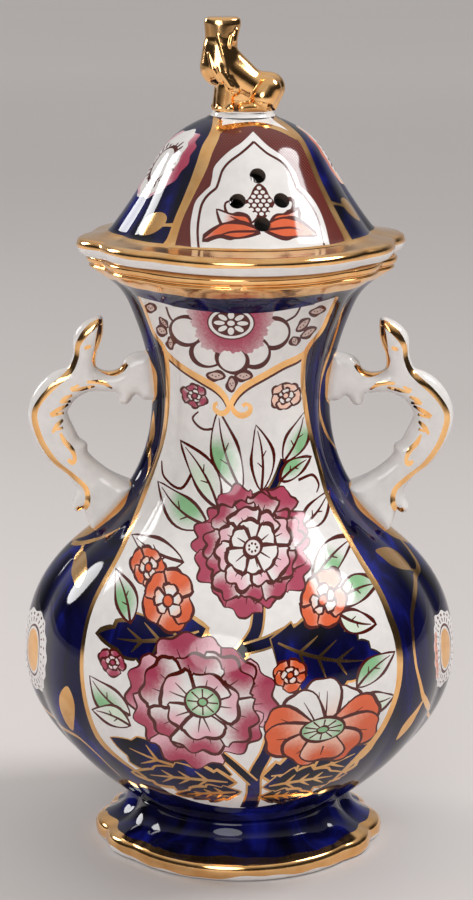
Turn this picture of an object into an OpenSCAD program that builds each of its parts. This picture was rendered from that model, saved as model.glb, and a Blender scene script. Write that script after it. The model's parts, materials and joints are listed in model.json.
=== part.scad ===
// Covered potpourri vase: a lobed baluster body on a spreading foot, two scroll handles,
// and a pierced domed lid with a seated animal on top. Millimetres, +Z up, front towards -Y.

/* [Plan] */
// Angle from the middle of the front panel to its crease, at the foot
front_angle_foot = 51; // [44:0.5:53]
// The same angle at the belly
front_angle_belly = 47.5; // [44:0.5:52]
// The same angle in the neck, up to the flare
front_angle_neck = 52; // [46:0.5:54]
// The same angle in the rim and the lid
front_angle_rim = 43; // [40:0.5:50]
// Angle from the middle of a side panel to its crease
side_angle = 15.5; // [12:0.5:18]
// Swell of an oblique panel out of its creases above the foot, where a front or side panel has 1
oblique_swell = 0.3; // [0:0.05:0.8]

/* [Foot] */
// Reach of the foot from the axis
foot_r = 52.6; // [48:0.2:60]
// Height of the foot, up to the waist
foot_h = 18; // [15:0.5:24]
// Height of the upright edge of the foot
foot_edge_h = 7; // [4:0.5:9]
// Rounding of that edge
foot_round = 1.2; // [0.4:0.1:1.8]
// Depth of the creases in the foot
foot_crease = 5; // [1:0.1:6]
// Swell of an oblique panel in the foot
foot_swell = 0.8; // [0:0.05:1]
// Reach of the waist from the axis
waist_r = 40.4; // [37:0.2:44]
// Width of the ring that the foot stands on, in a crease
foot_ring_w = 5; // [4:0.5:8]
// Depth of the hollow under the foot
foot_hollow_h = 9; // [4:0.5:11]
// Wall between the top of that hollow and the waist
foot_wall = 6; // [4:0.5:9]

/* [Body] */
// Height of the rim above the table
body_h = 216; // [205:1:235]
// Reach of the belly from the axis
belly_r = 77.8; // [70:0.2:84]
// Height of the widest part of the belly
belly_z = 70; // [62:1:78]
// How far in from the belly the middle of the shoulder lies
shoulder_in = 21; // [18:0.2:25]
// Height of the middle of the shoulder
shoulder_z = 114; // [108:1:120]
// Height of the seam in the shoulder, where the neck is luted on the belly
shoulder_seam_z = 103; // [100:1:106]
// Height of the seam in the neck, where the flared collar is luted on
neck_seam_z = 160; // [157:1:161]
// Reach of the neck from the axis
neck_r = 31.8; // [29:0.2:35]
// Height of the narrowest part of the neck
neck_z = 164; // [158:1:170]
// Reach of the neck where it starts to flare
flare_r = 39.6; // [37:0.2:42]
// Height of the flare under the rim moulding
flare_h = 11; // [8:0.5:14]
// Depth of the creases between the panels of the body
body_crease = 3.2; // [0.6:0.1:4]
// Thickness of the body's wall
wall = 4.5; // [3.5:0.1:6]
// Thickness of the body's bottom
base_t = 5; // [4:0.5:8]

/* [Rim] */
// Reach of the rim from the axis
rim_r = 55.2; // [52:0.2:58]
// Height of the rim moulding
rim_h = 8; // [6:0.5:10]
// Reach of the neck just under the rim moulding
under_rim_r = 49; // [46:0.2:51]
// Height of the groove in the moulding, under the rim's top bead
rim_groove_h = 3.6; // [2.5:0.1:4.5]
// Depth of that groove
rim_groove_d = 0.9; // [0.2:0.1:1.5]
// Depth of the creases in the rim
rim_crease = 4.4; // [1:0.1:5]
// Radius of the round mouth
mouth_r = 42; // [40:0.2:44]

/* [Lid] */
// Reach of the lid's flange from the axis
lid_r = 58.8; // [55:0.2:62]
// Height of the flange's edge
lid_edge_h = 6.4; // [4:0.2:8]
// Rounding of that edge
lid_round = 2; // [0.8:0.1:3]
// Depth of the creases in the flange
lid_crease = 4.6; // [1:0.1:5.5]
// Rise of the flange from its edge to the dome
flange_rise = 2; // [1.5:0.1:5]
// Reach of the dome at its base
dome_r = 47.2; // [45:0.1:49]
// Height of the dome, from the flange to the plinth
dome_h = 40; // [36:0.5:46]
// Reach of the dome at its shoulder
dome_shoulder_r = 31.3; // [28:0.1:34]
// Height of that shoulder above the base of the dome
dome_shoulder_h = 23.5; // [20:0.5:27]
// Depth of the creases between the panels of the dome
dome_crease = 2.4; // [0.6:0.1:3]
// Radius of the plinth on top of the dome
plinth_r = 10.6; // [9:0.1:13]
// Height of the plinth
plinth_h = 1.6; // [1:0.1:4]
// Thickness of the lid's wall
lid_wall = 4.5; // [3.5:0.1:6]
// Depth of the ring under the lid that drops into the mouth
ring_h = 9; // [6:0.5:10]
// Thickness of that ring
ring_t = 4; // [3:0.1:6]
// Gap between the lid and the rim that it rests on
seat_gap = 0.15; // [0.1:0.05:0.3]
// Clearance between that ring and the mouth
ring_clearance = 1.2; // [0.6:0.1:2]
// How far the lid rests turned in the mouth
lid_turn = 9; // [-10:0.5:10]
// Diameter of a scent hole
vent_d = 5.6; // [4:0.1:7]
// Distance of the scent holes from the middle of their diamond
vent_spread = 7.6; // [6.5:0.1:9]
// Height of the middle of the diamond above the base of the dome
vent_rise = 15; // [13:0.5:17]

/* [Handles] */
// Height of the upper root of a handle
handle_top_z = 172; // [168:0.5:176]
// Height of the lower root of a handle
handle_low_z = 124; // [120:0.5:127]
// Thickness of a handle
handle_t = 10; // [8:0.5:13]
// Rounding of a handle's edges
handle_round = 3; // [1:0.1:3.8]
// Thickness of the film of slip between a handle and the body
slip_gap = 0.1; // [0.05:0.05:0.3]

/* [Finial] */
// Height of the seated animal
finial_h = 32.5; // [28:0.5:40]

/* [Hidden] */

glaze_white = [0.93, 0.92, 0.90];
cobalt = [0.06, 0.06, 0.30];
gilt = [0.80, 0.58, 0.22];

// Facets across a wide panel, across a narrow panel, and from one station of a profile to the next
wide_steps = 12;
narrow_steps = 4;
outside_steps = 6;
inside_steps = 4;
cone_fn = 72;

// How far a cutting solid passes the face that it cuts
overcut = 1;
// Least height between two rings of a skin
ring_apart = 1;

rim_low_z = body_h - rim_h;
flare_z = rim_low_z - flare_h;
shoulder_r = belly_r - shoulder_in;
mouth_low_z = body_h - ring_h - ring_clearance;
ring_r = mouth_r - ring_clearance;
lid_z = body_h + seat_gap;
dome_z = lid_z + lid_edge_h + flange_rise;
plinth_z = dome_z + dome_h;
lid_top_z = plinth_z + plinth_h;

// Profiles as stations: height, reach from the axis, and change of reach with height
foot_stations = [
    [foot_edge_h, foot_r - foot_round, -2.2],
    [foot_h, waist_r, -0.1]
];
body_stations = [
    [foot_h, waist_r, 1.45],
    [belly_z, belly_r, 0],
    [shoulder_z, shoulder_r, -1.22],
    [neck_z, neck_r, 0],
    [flare_z, flare_r, 0.42],
    [rim_low_z, under_rim_r, 1.6]
];
dome_stations = [
    [dome_z, dome_r, -0.8],
    [dome_z + dome_shoulder_h, dome_shoulder_r, -0.6],
    [plinth_z, plinth_r, -2.7]
];

// Angle of the front panel's crease at heights up the vase
front_angles = [
    [0, front_angle_foot],
    [belly_z, front_angle_belly],
    [neck_z, front_angle_neck],
    [flare_z, front_angle_neck],
    [rim_low_z + rim_groove_h, front_angle_rim]
];

// Cubic from one station to the next
function hermite(a, b, z) =
    let (h = b[0] - a[0], t = (z - a[0]) / h)
    (2 * t ^ 3 - 3 * t ^ 2 + 1) * a[1] + (t ^ 3 - 2 * t ^ 2 + t) * h * a[2]
    + (3 * t ^ 2 - 2 * t ^ 3) * b[1] + (t ^ 3 - t ^ 2) * h * b[2];

// Reach of a profile at a height
function reach(stations, z, i = 0) =
    i >= len(stations) - 2 || z <= stations[i + 1][0]
        ? hermite(stations[i], stations[i + 1], z)
        : reach(stations, z, i + 1);

// Change of reach with height, over a short step
function slope(stations, z, step = 0.05) =
    (reach(stations, z + step) - reach(stations, z - step)) / (2 * step);

// Heights up a profile, with the same number of steps between each two stations
function heights(stations, steps) = [
    for (i = [0 : len(stations) - 2], k = [0 : steps - 1])
        stations[i][0] + (stations[i + 1][0] - stations[i][0]) * k / steps,
    stations[len(stations) - 1][0]
];

// Outline on the inner face of a wall, square to the outer profile at a height
function inner_ring(stations, z, thickness, crease) =
    let (s = slope(stations, z), n = sqrt(1 + s * s))
    [z + thickness * s / n, reach(stations, z) - thickness / n, crease];

// Outline on the inner face of that wall, level with a height
function level_ring(stations, z, thickness, crease) =
    let (s = slope(stations, z))
    [z, reach(stations, z) - thickness * sqrt(1 + s * s), crease];

// A list from its last item to its first
function backwards(list) = [for (i = [len(list) - 1 : -1 : 0]) list[i]];

// Angles of the creases round the plan, from the middle of the front panel
function creases(z) =
    let (a = lookup(z, front_angles))
    [a, 90 - side_angle, 90 + side_angle, 180 - a, 180 + a, 270 - side_angle, 270 + side_angle, 360 - a];

// One lobed outline from its ring: height, reach from the axis and depth of the creases,
// and the swell of its oblique panels, if that isn't the body's
function outline(ring) =
    let (
        c = creases(ring[0]),
        n = len(c),
        ring_swell = is_undef(ring[3]) ? oblique_swell : ring[3]
    )
    [
        for (i = [0 : n - 1])
            let (
                first = c[i],
                last = i < n - 1 ? c[i + 1] : c[0] + 360,
                steps = i % 4 == 3 ? wide_steps : narrow_steps,
                swell = i % 2 == 0 ? ring_swell : 1
            )
            for (k = [0 : steps - 1])
                let (
                    a = first + (last - first) * k / steps,
                    r = ring[1] - ring[2] * (1 - swell * sin(180 * k / steps))
                )
                [r * sin(a), -r * cos(a), ring[0]]
    ];

// Closed skin over loops of equal length, with a flat face on the first and the last,
// or open right through, with the last joined to the first
module loft(loops, open = false) {
    n = len(loops[0]);
    m = len(loops);
    polyhedron(
        points = [for (loop = loops) each loop],
        faces = [
            if (!open) [for (i = [0 : n - 1]) i],
            if (!open) [for (i = [n - 1 : -1 : 0]) (m - 1) * n + i],
            for (j = [0 : open ? m - 1 : m - 2], i = [0 : n - 1])
                let (
                    next = (j + 1) % m * n,
                    a = j * n + i, b = j * n + (i + 1) % n,
                    c = next + i, d = next + (i + 1) % n
                )
                each [[a, c, b], [b, c, d]]
        ]
    );
}

// Lobed solid over a list of rings
module lobed(rings, open = false) {
    loft([for (ring = rings) outline(ring)], open);
}

// Ring of the body's outside at a height, grown by a film if need be
function outside_ring(z, grow = 0) = [z, reach(body_stations, z) + grow, body_crease];

// Rings of the body's outside between two heights
function body_outside(low, high, grow = 0) = [
    outside_ring(low, grow),
    for (z = heights(body_stations, outside_steps))
        if (z > low + ring_apart && z < high - ring_apart)
            outside_ring(z, grow),
    outside_ring(high, grow)
];

// Rim moulding: a quarter round, a groove and a top bead
function rim_outside() =
    let (groove_z = body_h - rim_groove_h, bead = rim_groove_h / 4)
    [
        [groove_z - bead, rim_r - rim_groove_d, rim_crease],
        [groove_z, rim_r - 2 * rim_groove_d, rim_crease],
        [groove_z + bead, rim_r - rim_groove_d / 3, rim_crease],
        [body_h - bead, rim_r, rim_crease],
        [body_h, rim_r - 2 * rim_groove_d, rim_crease]
    ];

// Rings of the body's inside between two heights, from the top down
function body_inside(low, high) = [
    for (z = backwards(heights(body_stations, inside_steps)))
        let (ring = inner_ring(body_stations, z, wall, body_crease))
        if (ring[0] > low + ring_apart && ring[0] < high - ring_apart)
            ring
];

// Ring of the body's inside, level with a height
function inside_ring(z) = level_ring(body_stations, z, wall, body_crease);

// Bowl of the body, from the waist up to the shoulder
module belly() {
    floor_z = foot_h + base_t;
    color(glaze_white)
        lobed(concat(
            body_outside(foot_h, shoulder_seam_z),
            [inside_ring(shoulder_seam_z)],
            body_inside(floor_z, shoulder_seam_z),
            [inside_ring(floor_z)]
        ));
}

// Neck of the body, open right through
module neck() {
    color(glaze_white)
        lobed(concat(
            body_outside(shoulder_seam_z, neck_seam_z),
            [inside_ring(neck_seam_z)],
            body_inside(shoulder_seam_z, neck_seam_z),
            [inside_ring(shoulder_seam_z)]
        ), open = true);
}

// Collar on the neck, with the rim and the round mouth
module collar() {
    mouth = [[body_h, mouth_r, 0], [mouth_low_z, mouth_r, 0]];
    color(glaze_white)
        lobed(concat(
            body_outside(neck_seam_z, rim_low_z),
            rim_outside(),
            mouth,
            body_inside(neck_seam_z, flare_z + wall),
            [inside_ring(neck_seam_z)]
        ), open = true);
}

module foot() {
    edge = [
        [0, foot_r - foot_round, foot_crease, foot_swell],
        [foot_round, foot_r, foot_crease, foot_swell],
        [foot_edge_h - foot_round, foot_r, foot_crease, foot_swell]
    ];
    spread = [
        for (z = heights(foot_stations, outside_steps))
            let (up = z / foot_h)
            [
                z,
                reach(foot_stations, z),
                foot_crease + (body_crease - foot_crease) * up,
                foot_swell + (oblique_swell - foot_swell) * up
            ]
    ];
    hollow_r = foot_r - foot_crease - foot_ring_w;
    hollow_top_r = waist_r - foot_wall;
    flare = (hollow_r - hollow_top_r) / foot_hollow_h;
    color(cobalt)
        difference() {
            lobed(concat(edge, spread));
            translate([0, 0, -overcut])
                cylinder(
                    h = foot_hollow_h + overcut,
                    r1 = hollow_r + flare * overcut,
                    r2 = hollow_top_r,
                    $fn = cone_fn
                );
        }
}

// Strokes of a handle: reach past its root, height over its root, and half width
bow_top = [
    [-6, 0, 9], [5, -0.2, 8.6], [8.6, -0.6, 7.4], [11.8, -2, 4.8], [16, -2.5, 3.7],
    [23, -2, 4.6], [31.8, -5.2, 6.6], [36.8, -14, 7]
];
bow_low = [[18.3, 22.5, 7.1], [11.8, 15, 5.4], [5.4, 7.4, 7.3], [-1, -0.2, 11], [-8, -7, 11]];
horn = [[25, -2, 6], [23.5, 7, 4.2], [22.3, 12.8, 5.2], [20.4, 17.2, 4.4], [18.8, 20.4, 1.6]];
spur = [[9.4, -5, 3], [11, -9.2, 2.2], [11.3, -10.8, 1.2]];
tuck = [[15, 21.5, 3.4], [10, 21.6, 2], [8.4, 21.6, 1]];
curl = [[8, 7, 3], [11.2, 3.4, 2.5], [12.6, 1.2, 2], [12, -0.6, 1]];
stroke_steps = 4;

// Strokes carried to a root on the body's profile
function rooted(stroke, root_z) =
    [for (p = stroke) [p[0] + reach(body_stations, root_z), p[1] + root_z, p[2]]];

// Smooth curve through the points of a stroke
function smooth(p) = [
    for (i = [0 : len(p) - 2], k = [0 : stroke_steps - 1])
        let (
            a = p[max(0, i - 1)], b = p[i], c = p[i + 1], d = p[min(len(p) - 1, i + 2)],
            t = k / stroke_steps
        )
        b + (c - a) * t / 2 + (2 * a - 5 * b + 4 * c - d) * t ^ 2 / 2
            + (3 * b - a - 3 * c + d) * t ^ 3 / 2,
    p[len(p) - 1]
];

// Section of a stroke with rounded corners, across its direction
function section(p, along, half_w) =
    let (r = min(handle_round, half_w * 0.9), u = half_w - r, v = handle_t / 2 - r)
    [
        for (corner = [[1, 1, 0], [-1, 1, 90], [-1, -1, 180], [1, -1, 270]], a = [0, 45, 90])
            let (
                across = corner[0] * u + r * cos(corner[2] + a),
                deep = corner[1] * v + r * sin(corner[2] + a)
            )
            [p[0] + along[1] * across, deep, p[1] - along[0] * across]
    ];

// Strap swept along a stroke
module strap(stroke) {
    p = smooth(stroke);
    last = len(p) - 1;
    loft([
        for (i = [0 : last])
            let (
                d = p[min(last, i + 1)] - p[max(0, i - 1)],
                along = [d[0], d[1]] / norm([d[0], d[1]])
            )
            section(p[i], along, p[i][2])
    ]);
}

module handle() {
    color(glaze_white)
        difference() {
            union() {
                strap(concat(rooted(bow_top, handle_top_z), rooted(bow_low, handle_low_z)));
                strap(rooted(horn, handle_top_z));
                strap(rooted(spur, handle_top_z));
                strap(rooted(tuck, handle_low_z));
                strap(rooted(curl, handle_low_z));
            }
            lobed(body_outside(foot_h, rim_low_z, slip_gap));
        }
}

module handle_right() {
    handle();
}

module handle_left() {
    mirror([1, 0, 0])
        handle();
}

// Lid's skin: ceiling, locating ring, flange, dome and plinth
module lid() {
    inside = [
        for (z = backwards(heights(dome_stations, inside_steps)))
            inner_ring(dome_stations, z, lid_wall, dome_crease / 2)
    ];
    ring = [
        [lid_z + flange_rise / 2, ring_r - ring_t, 0],
        [lid_z - ring_h, ring_r - ring_t, 0],
        [lid_z - ring_h, ring_r, 0],
        [lid_z, ring_r, 0]
    ];
    flange = [
        [lid_z, lid_r - lid_round, lid_crease],
        [lid_z + lid_round, lid_r - lid_round / 4, lid_crease],
        [lid_z + lid_edge_h - lid_round, lid_r, lid_crease],
        [lid_z + lid_edge_h, lid_r - lid_round, lid_crease]
    ];
    dome = [
        for (z = heights(dome_stations, outside_steps))
            [z, reach(dome_stations, z), dome_crease * (plinth_z - z) / dome_h]
    ];
    plinth = [[lid_top_z, plinth_r, 0]];
    color(glaze_white)
        rotate([0, 0, lid_turn])
            difference() {
                lobed(concat(inside, ring, flange, dome, plinth));
                for (side = [0, 180])
                    rotate([0, 0, side])
                        vents();
            }
}

// Four scent holes in a diamond, square to the front of the dome
module vents() {
    middle_z = dome_z + vent_rise;
    tilt = atan(slope(dome_stations, middle_z));
    for (place = [[0, 1], [0, -1], [1, 0], [-1, 0]])
        let (z = middle_z + vent_spread * place[1])
            translate([vent_spread * place[0], -reach(dome_stations, z), z])
                rotate([90 + tilt, 0, 0])
                    cylinder(h = 5 * lid_wall, d = vent_d, center = true, $fn = 32);
}

// Limb of the animal between two balls
module limb(p, p_r, q, q_r) {
    hull() {
        translate(p) sphere(r = p_r, $fn = 16);
        translate(q) sphere(r = q_r, $fn = 16);
    }
}

// Animal seated on the plinth with its chest to the left, drawn 34 mm high
module finial() {
    color(gilt)
        translate([0, 0, lid_top_z])
            rotate([0, 0, lid_turn])
                scale(finial_h / 34)
                    intersection() {
                        union() {
                            limb([-9.4, 0, 16.6], 7.6, [-9, 0, 23], 6.6);
                            hull() {
                                translate([-9, 0, 23])
                                    cylinder(h = 1, r = 6.5, $fn = 20);
                                translate([-8.2, 0, 31.8])
                                    cylinder(h = 1, r = 6.7, $fn = 20);
                                translate([-8.2, 0, 33])
                                    cylinder(h = 1, r = 5.9, $fn = 20);
                            }
                            limb([-8, 0, 15.5], 7.6, [3, 0, 9.2], 6.3);
                            limb([-7, 0, 20], 5.4, [0, 0, 15], 4.4);
                            limb([3, 0, 9.2], 6.3, [9.9, 0, 8.2], 5.4);
                            limb([9.9, 0, 8.2], 5.4, [9.2, 0, 2.2], 3.2);
                            limb([4, 0, 4.6], 4.6, [-5, 0, 7], 5);
                            for (side = [-1, 1]) {
                                limb([-7.6, 3.4 * side, 0], 3.2, [-7.6, 3.6 * side, 9], 3.6);
                                limb([-4.6, 3.8 * side, 8.6], 3.2, [-6.6, 3.6 * side, 12], 3.6);
                                limb([6.4, 4.4 * side, 5.4], 5, [8, 3.4 * side, 8], 5);
                                limb([-0.2, 5 * side, 0.4], 1.8, [7, 5 * side, 1.4], 2.4);
                                limb([-2.6, 4.8 * side, 30], 1.6, [-3.6, 4 * side, 25], 2.2);
                            }
                        }
                        translate([-34, -34, 0])
                            cube([68, 68, 34]);
                    }
}

belly();
neck();
collar();
foot();
handle_left();
handle_right();
lid();
finial();
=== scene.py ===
import json
import math

import bpy
import numpy as np
from mathutils import Matrix, Vector
from mathutils.geometry import delaunay_2d_cdt

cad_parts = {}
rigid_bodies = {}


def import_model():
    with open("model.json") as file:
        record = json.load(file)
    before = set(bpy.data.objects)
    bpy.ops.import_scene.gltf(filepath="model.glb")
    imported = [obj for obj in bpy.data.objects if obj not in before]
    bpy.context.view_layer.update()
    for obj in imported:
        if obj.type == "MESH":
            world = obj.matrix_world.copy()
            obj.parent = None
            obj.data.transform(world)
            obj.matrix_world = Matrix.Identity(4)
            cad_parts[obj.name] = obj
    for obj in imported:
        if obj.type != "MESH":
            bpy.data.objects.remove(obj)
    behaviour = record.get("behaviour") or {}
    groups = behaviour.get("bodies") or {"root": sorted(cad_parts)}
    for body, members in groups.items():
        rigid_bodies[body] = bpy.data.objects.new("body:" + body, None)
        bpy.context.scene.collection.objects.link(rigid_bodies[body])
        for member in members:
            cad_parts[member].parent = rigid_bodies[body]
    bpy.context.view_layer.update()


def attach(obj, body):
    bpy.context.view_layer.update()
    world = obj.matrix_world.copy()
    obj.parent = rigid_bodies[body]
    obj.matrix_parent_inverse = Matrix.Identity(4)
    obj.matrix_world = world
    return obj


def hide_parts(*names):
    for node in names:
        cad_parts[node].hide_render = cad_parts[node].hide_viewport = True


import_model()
mm = 0.001
print("frame loaded")


def tint(red, green, blue):  # a colour as seen in daylight, to the shader's linear scale
    shares = [c / 255 for c in (red, green, blue)]
    return tuple(((c + 0.055) / 1.055) ** 2.4 if c > 0.04 else c / 12.92 for c in shares)


enamels = {
    "white": tint(234, 230, 227),
    "brown": tint(80, 22, 15),
    "rose": tint(172, 66, 92),
    "blush": tint(230, 180, 190),
    "coral": tint(224, 100, 58),
    "peach": tint(246, 200, 178),
    "green": tint(140, 190, 140),
    "mint": tint(216, 230, 208),
    "mauve": tint(210, 182, 172),
    "sienna": tint(84, 22, 16),
    # painted shade: the dark of the white-glazed walls inside the lid's pierced holes
    "paintedHoleShade": tint(112, 98, 90),
}
coats = ["enamel", "cobalt", "gold", "net", "gilt"]


# shader helpers

def addNode(tree, kind, x, y, settings=None, **values):
    node = tree.nodes.new(kind)
    node.location = (x, y)
    for name, value in values.items():
        setattr(node, name, value)
    for socket, value in (settings or {}).items():
        node.inputs[socket].default_value = value
    return node


def addRamp(tree, x, y, stops):  # stops of position and colour, in order
    node = addNode(tree, "ShaderNodeValToRGB", x, y)
    ends = node.color_ramp.elements
    for stop, (position, colour) in zip(ends, (stops[0], stops[-1])):
        stop.position = position
        stop.color = (*tint(*colour), 1.0)
    for position, colour in stops[1:-1]:
        ends.new(position).color = (*tint(*colour), 1.0)
    return node


def link(tree, source, output, target, socket):
    tree.links.new(source.outputs[output], target.inputs[socket])


def newGroup(name, inputs, outputs):
    tree = bpy.data.node_groups.new(name, "ShaderNodeTree")
    for label, kind, value in inputs:
        socket = tree.interface.new_socket(label, in_out="INPUT", socket_type=kind)
        socket.default_value = value
    for label, kind in outputs:
        tree.interface.new_socket(label, in_out="OUTPUT", socket_type=kind)
    start = addNode(tree, "NodeGroupInput", -900, 0)
    end = addNode(tree, "NodeGroupOutput", 700, 0)
    return tree, start, end


def makeGlazeRipple():  # slow waves and pinholes of a fired glaze, as a height
    tree, start, end = newGroup("glazeRipple", [("Wave", "NodeSocketFloat", 90.0)],
                                [("Height", "NodeSocketFloat")])
    place = addNode(tree, "ShaderNodeTexCoord", -700, 0)
    wave = addNode(tree, "ShaderNodeTexNoise", -400, 100, {"Detail": 2.0})
    pits = addNode(tree, "ShaderNodeTexNoise", -400, -200, {"Scale": 1400.0, "Detail": 1.0})
    blend = addNode(tree, "ShaderNodeMath", 0, 0, {1: 0.04}, operation="MULTIPLY_ADD")
    link(tree, place, "Object", wave, "Vector")
    link(tree, place, "Object", pits, "Vector")
    link(tree, start, "Wave", wave, "Scale")
    link(tree, pits, "Fac", blend, 0)
    link(tree, wave, "Fac", blend, 2)
    link(tree, blend, 0, end, "Height")
    return tree


def makeBrushWash():  # enamel that spreads from its ink to its wash, with a feathered edge
    tree, start, end = newGroup("brushWash", [("Feather", "NodeSocketFloat", 0.2)],
                                [("Color", "NodeSocketColor")])
    ink = addNode(tree, "ShaderNodeAttribute", -700, 300, attribute_name="ink")
    wash = addNode(tree, "ShaderNodeAttribute", -700, 100, attribute_name="wash")
    spread = addNode(tree, "ShaderNodeUVMap", -900, -100, uv_map="spread")
    place = addNode(tree, "ShaderNodeTexCoord", -900, -400)
    far = addNode(tree, "ShaderNodeVectorMath", -700, -100, operation="LENGTH")
    dabs = addNode(tree, "ShaderNodeTexNoise", -700, -300, {"Scale": 900.0, "Detail": 3.0, "Roughness": 0.7})
    centred = addNode(tree, "ShaderNodeMath", -500, -300, {1: 0.5}, operation="SUBTRACT")
    shaken = addNode(tree, "ShaderNodeMath", -300, -200, operation="MULTIPLY_ADD")
    ramp = addNode(tree, "ShaderNodeMapRange", -100, -100, {"From Min": 0.3, "From Max": 1.0},
                   interpolation_type="SMOOTHSTEP")
    mix = addNode(tree, "ShaderNodeMix", 100, 100, data_type="RGBA")
    cloud = addNode(tree, "ShaderNodeTexNoise", -100, -400, {"Scale": 260.0, "Detail": 4.0})
    depth = addNode(tree, "ShaderNodeMapRange", 100, -300, {"To Min": 0.86, "To Max": 1.06})
    shade = addNode(tree, "ShaderNodeMix", 400, 0, {"Factor": 1.0}, data_type="RGBA", blend_type="MULTIPLY")
    link(tree, spread, "UV", far, 0)
    link(tree, place, "Object", dabs, "Vector")
    link(tree, place, "Object", cloud, "Vector")
    link(tree, dabs, "Fac", centred, 0)
    link(tree, centred, 0, shaken, 0)
    link(tree, start, "Feather", shaken, 1)
    link(tree, far, "Value", shaken, 2)
    link(tree, shaken, 0, ramp, "Value")
    link(tree, ramp, "Result", mix, "Factor")
    link(tree, ink, "Color", mix, "A")
    link(tree, wash, "Color", mix, "B")
    link(tree, cloud, "Fac", depth, "Value")
    link(tree, mix, "Result", shade, "A")
    link(tree, depth, "Result", shade, "B")
    link(tree, shade, "Result", end, "Color")
    return tree


glazeRipple = makeGlazeRipple()
brushWash = makeBrushWash()


def newMaterial(name, roughness, metallic=0.0):
    material = bpy.data.materials.new(name)
    material.use_nodes = True
    tree = material.node_tree
    surface = tree.nodes["Principled BSDF"]
    surface.inputs["Roughness"].default_value = roughness
    surface.inputs["Metallic"].default_value = metallic
    return material, tree, surface


def addRipple(tree, surface, wave, strength, distance):
    ripple = addNode(tree, "ShaderNodeGroup", -700, -400, {"Wave": wave}, node_tree=glazeRipple)
    bump = addNode(tree, "ShaderNodeBump", -300, -400, {"Strength": strength, "Distance": distance})
    link(tree, ripple, "Height", bump, "Height")
    link(tree, bump, "Normal", surface, "Normal")


def makeEnamel():  # white glaze with enamels painted on it
    material, tree, surface = newMaterial("paintedGlaze", 0.09)
    wash = addNode(tree, "ShaderNodeGroup", -500, 200, {"Feather": 0.3}, node_tree=brushWash)
    link(tree, wash, "Color", surface, "Base Color")
    addRipple(tree, surface, 70.0, 0.12, 0.0006)
    return material


def makeCobalt():  # cobalt under a clear glaze, laid on in streaks
    material, tree, surface = newMaterial("cobaltGlaze", 0.05)
    surface.inputs["Specular IOR Level"].default_value = 0.34
    place = addNode(tree, "ShaderNodeTexCoord", -1300, 200)
    along = addNode(tree, "ShaderNodeMapping", -1100, 200, {"Scale": (1.0, 1.0, 0.35)})
    streaks = addNode(tree, "ShaderNodeTexNoise", -900, 200,
                      {"Scale": 75.0, "Detail": 5.0, "Distortion": 0.6})
    depth = addRamp(tree, -600, 200, [(0.36, (4, 3, 16)), (0.55, (12, 12, 62)), (0.76, (26, 34, 136))])
    link(tree, place, "Object", along, "Vector")
    link(tree, along, "Vector", streaks, "Vector")
    link(tree, streaks, "Fac", depth, "Fac")
    link(tree, depth, "Color", surface, "Base Color")
    addRipple(tree, surface, 60.0, 0.15, 0.0006)
    return material


def makeGold(name, smooth, rough):  # fired gold, thinner and redder in places
    material, tree, surface = newMaterial(name, 0.2, 1.0)
    place = addNode(tree, "ShaderNodeTexCoord", -1100, 200)
    cloud = addNode(tree, "ShaderNodeTexNoise", -900, 200, {"Scale": 160.0, "Detail": 4.0})
    hue = addRamp(tree, -600, 200, [(0.3, (240, 180, 112)), (0.7, (253, 204, 142))])
    polish = addNode(tree, "ShaderNodeMapRange", -600, -100, {"To Min": smooth, "To Max": rough})
    link(tree, place, "Object", cloud, "Vector")
    link(tree, cloud, "Fac", hue, "Fac")
    link(tree, cloud, "Fac", polish, "Value")
    link(tree, hue, "Color", surface, "Base Color")
    link(tree, polish, "Result", surface, "Roughness")
    addRipple(tree, surface, 130.0, 0.12, 0.0004)
    return material


def makeNet():  # printed net of pale dots on iron red
    material, tree, surface = newMaterial("printedNet", 0.1)
    place = addNode(tree, "ShaderNodeTexCoord", -1500, 200)
    apart = addNode(tree, "ShaderNodeSeparateXYZ", -1300, 200)
    link(tree, place, "Object", apart, "Vector")
    dots = addNode(tree, "ShaderNodeMath", -700, 200, operation="MULTIPLY")
    often = {1: 6600.0}  # about a dot to the millimetre
    for row, axis in enumerate(("X", "Z")):
        wide = addNode(tree, "ShaderNodeMath", -1100, 300 - 200 * row, often, operation="MULTIPLY")
        wave = addNode(tree, "ShaderNodeMath", -900, 300 - 200 * row, operation="SINE")
        link(tree, apart, axis, wide, 0)
        link(tree, wide, 0, wave, 0)
        link(tree, wave, 0, dots, row)
    edge = addNode(tree, "ShaderNodeMapRange", -500, 200, {"From Min": 0.42, "From Max": 0.9})
    link(tree, dots, 0, edge, "Value")
    inks = {"A": (*enamels["sienna"], 1.0), "B": (*tint(164, 94, 82), 1.0)}
    mix = addNode(tree, "ShaderNodeMix", -250, 200, inks, data_type="RGBA")
    link(tree, edge, "Result", mix, "Factor")
    link(tree, mix, "Result", surface, "Base Color")
    addRipple(tree, surface, 70.0, 0.12, 0.0006)
    return material


burnished = makeGold("burnishedGold", 0.07, 0.2)
painted = makeGold("paintedGold", 0.08, 0.19)
coatMaterials = [makeEnamel(), makeCobalt(), burnished, makeNet(), painted]
print("glazes mixed")


# lobed plan of the vase: a front, a back and two side panels that swell out of their creases

plan = {
    "heights": [0, 70, 164, 197, 211.6],
    "frontAngles": [51, 47.5, 52, 52, 43],  # from the middle of the front to its crease
    "sideAngle": 15.5,
    "swellHeights": [7, 18],
    "obliqueSwells": [0.6, 0.3],  # the foot's oblique panels swell more than the body's
    "softness": 2.4,  # degrees over which the glaze fills a crease
}


def sharpLobe(angle, front, swell):
    folded = np.mod(angle, 180)
    folded = np.minimum(folded, 180 - folded)
    side = 90 - plan["sideAngle"]
    inFront = np.cos(np.pi * folded / (2 * front))
    inOblique = swell * np.sin(np.pi * (folded - front) / (side - front))
    inSide = np.cos(np.pi * (90 - folded) / (2 * plan["sideAngle"]))
    return 1 - np.where(folded < front, inFront, np.where(folded < side, inOblique, inSide))


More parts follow.
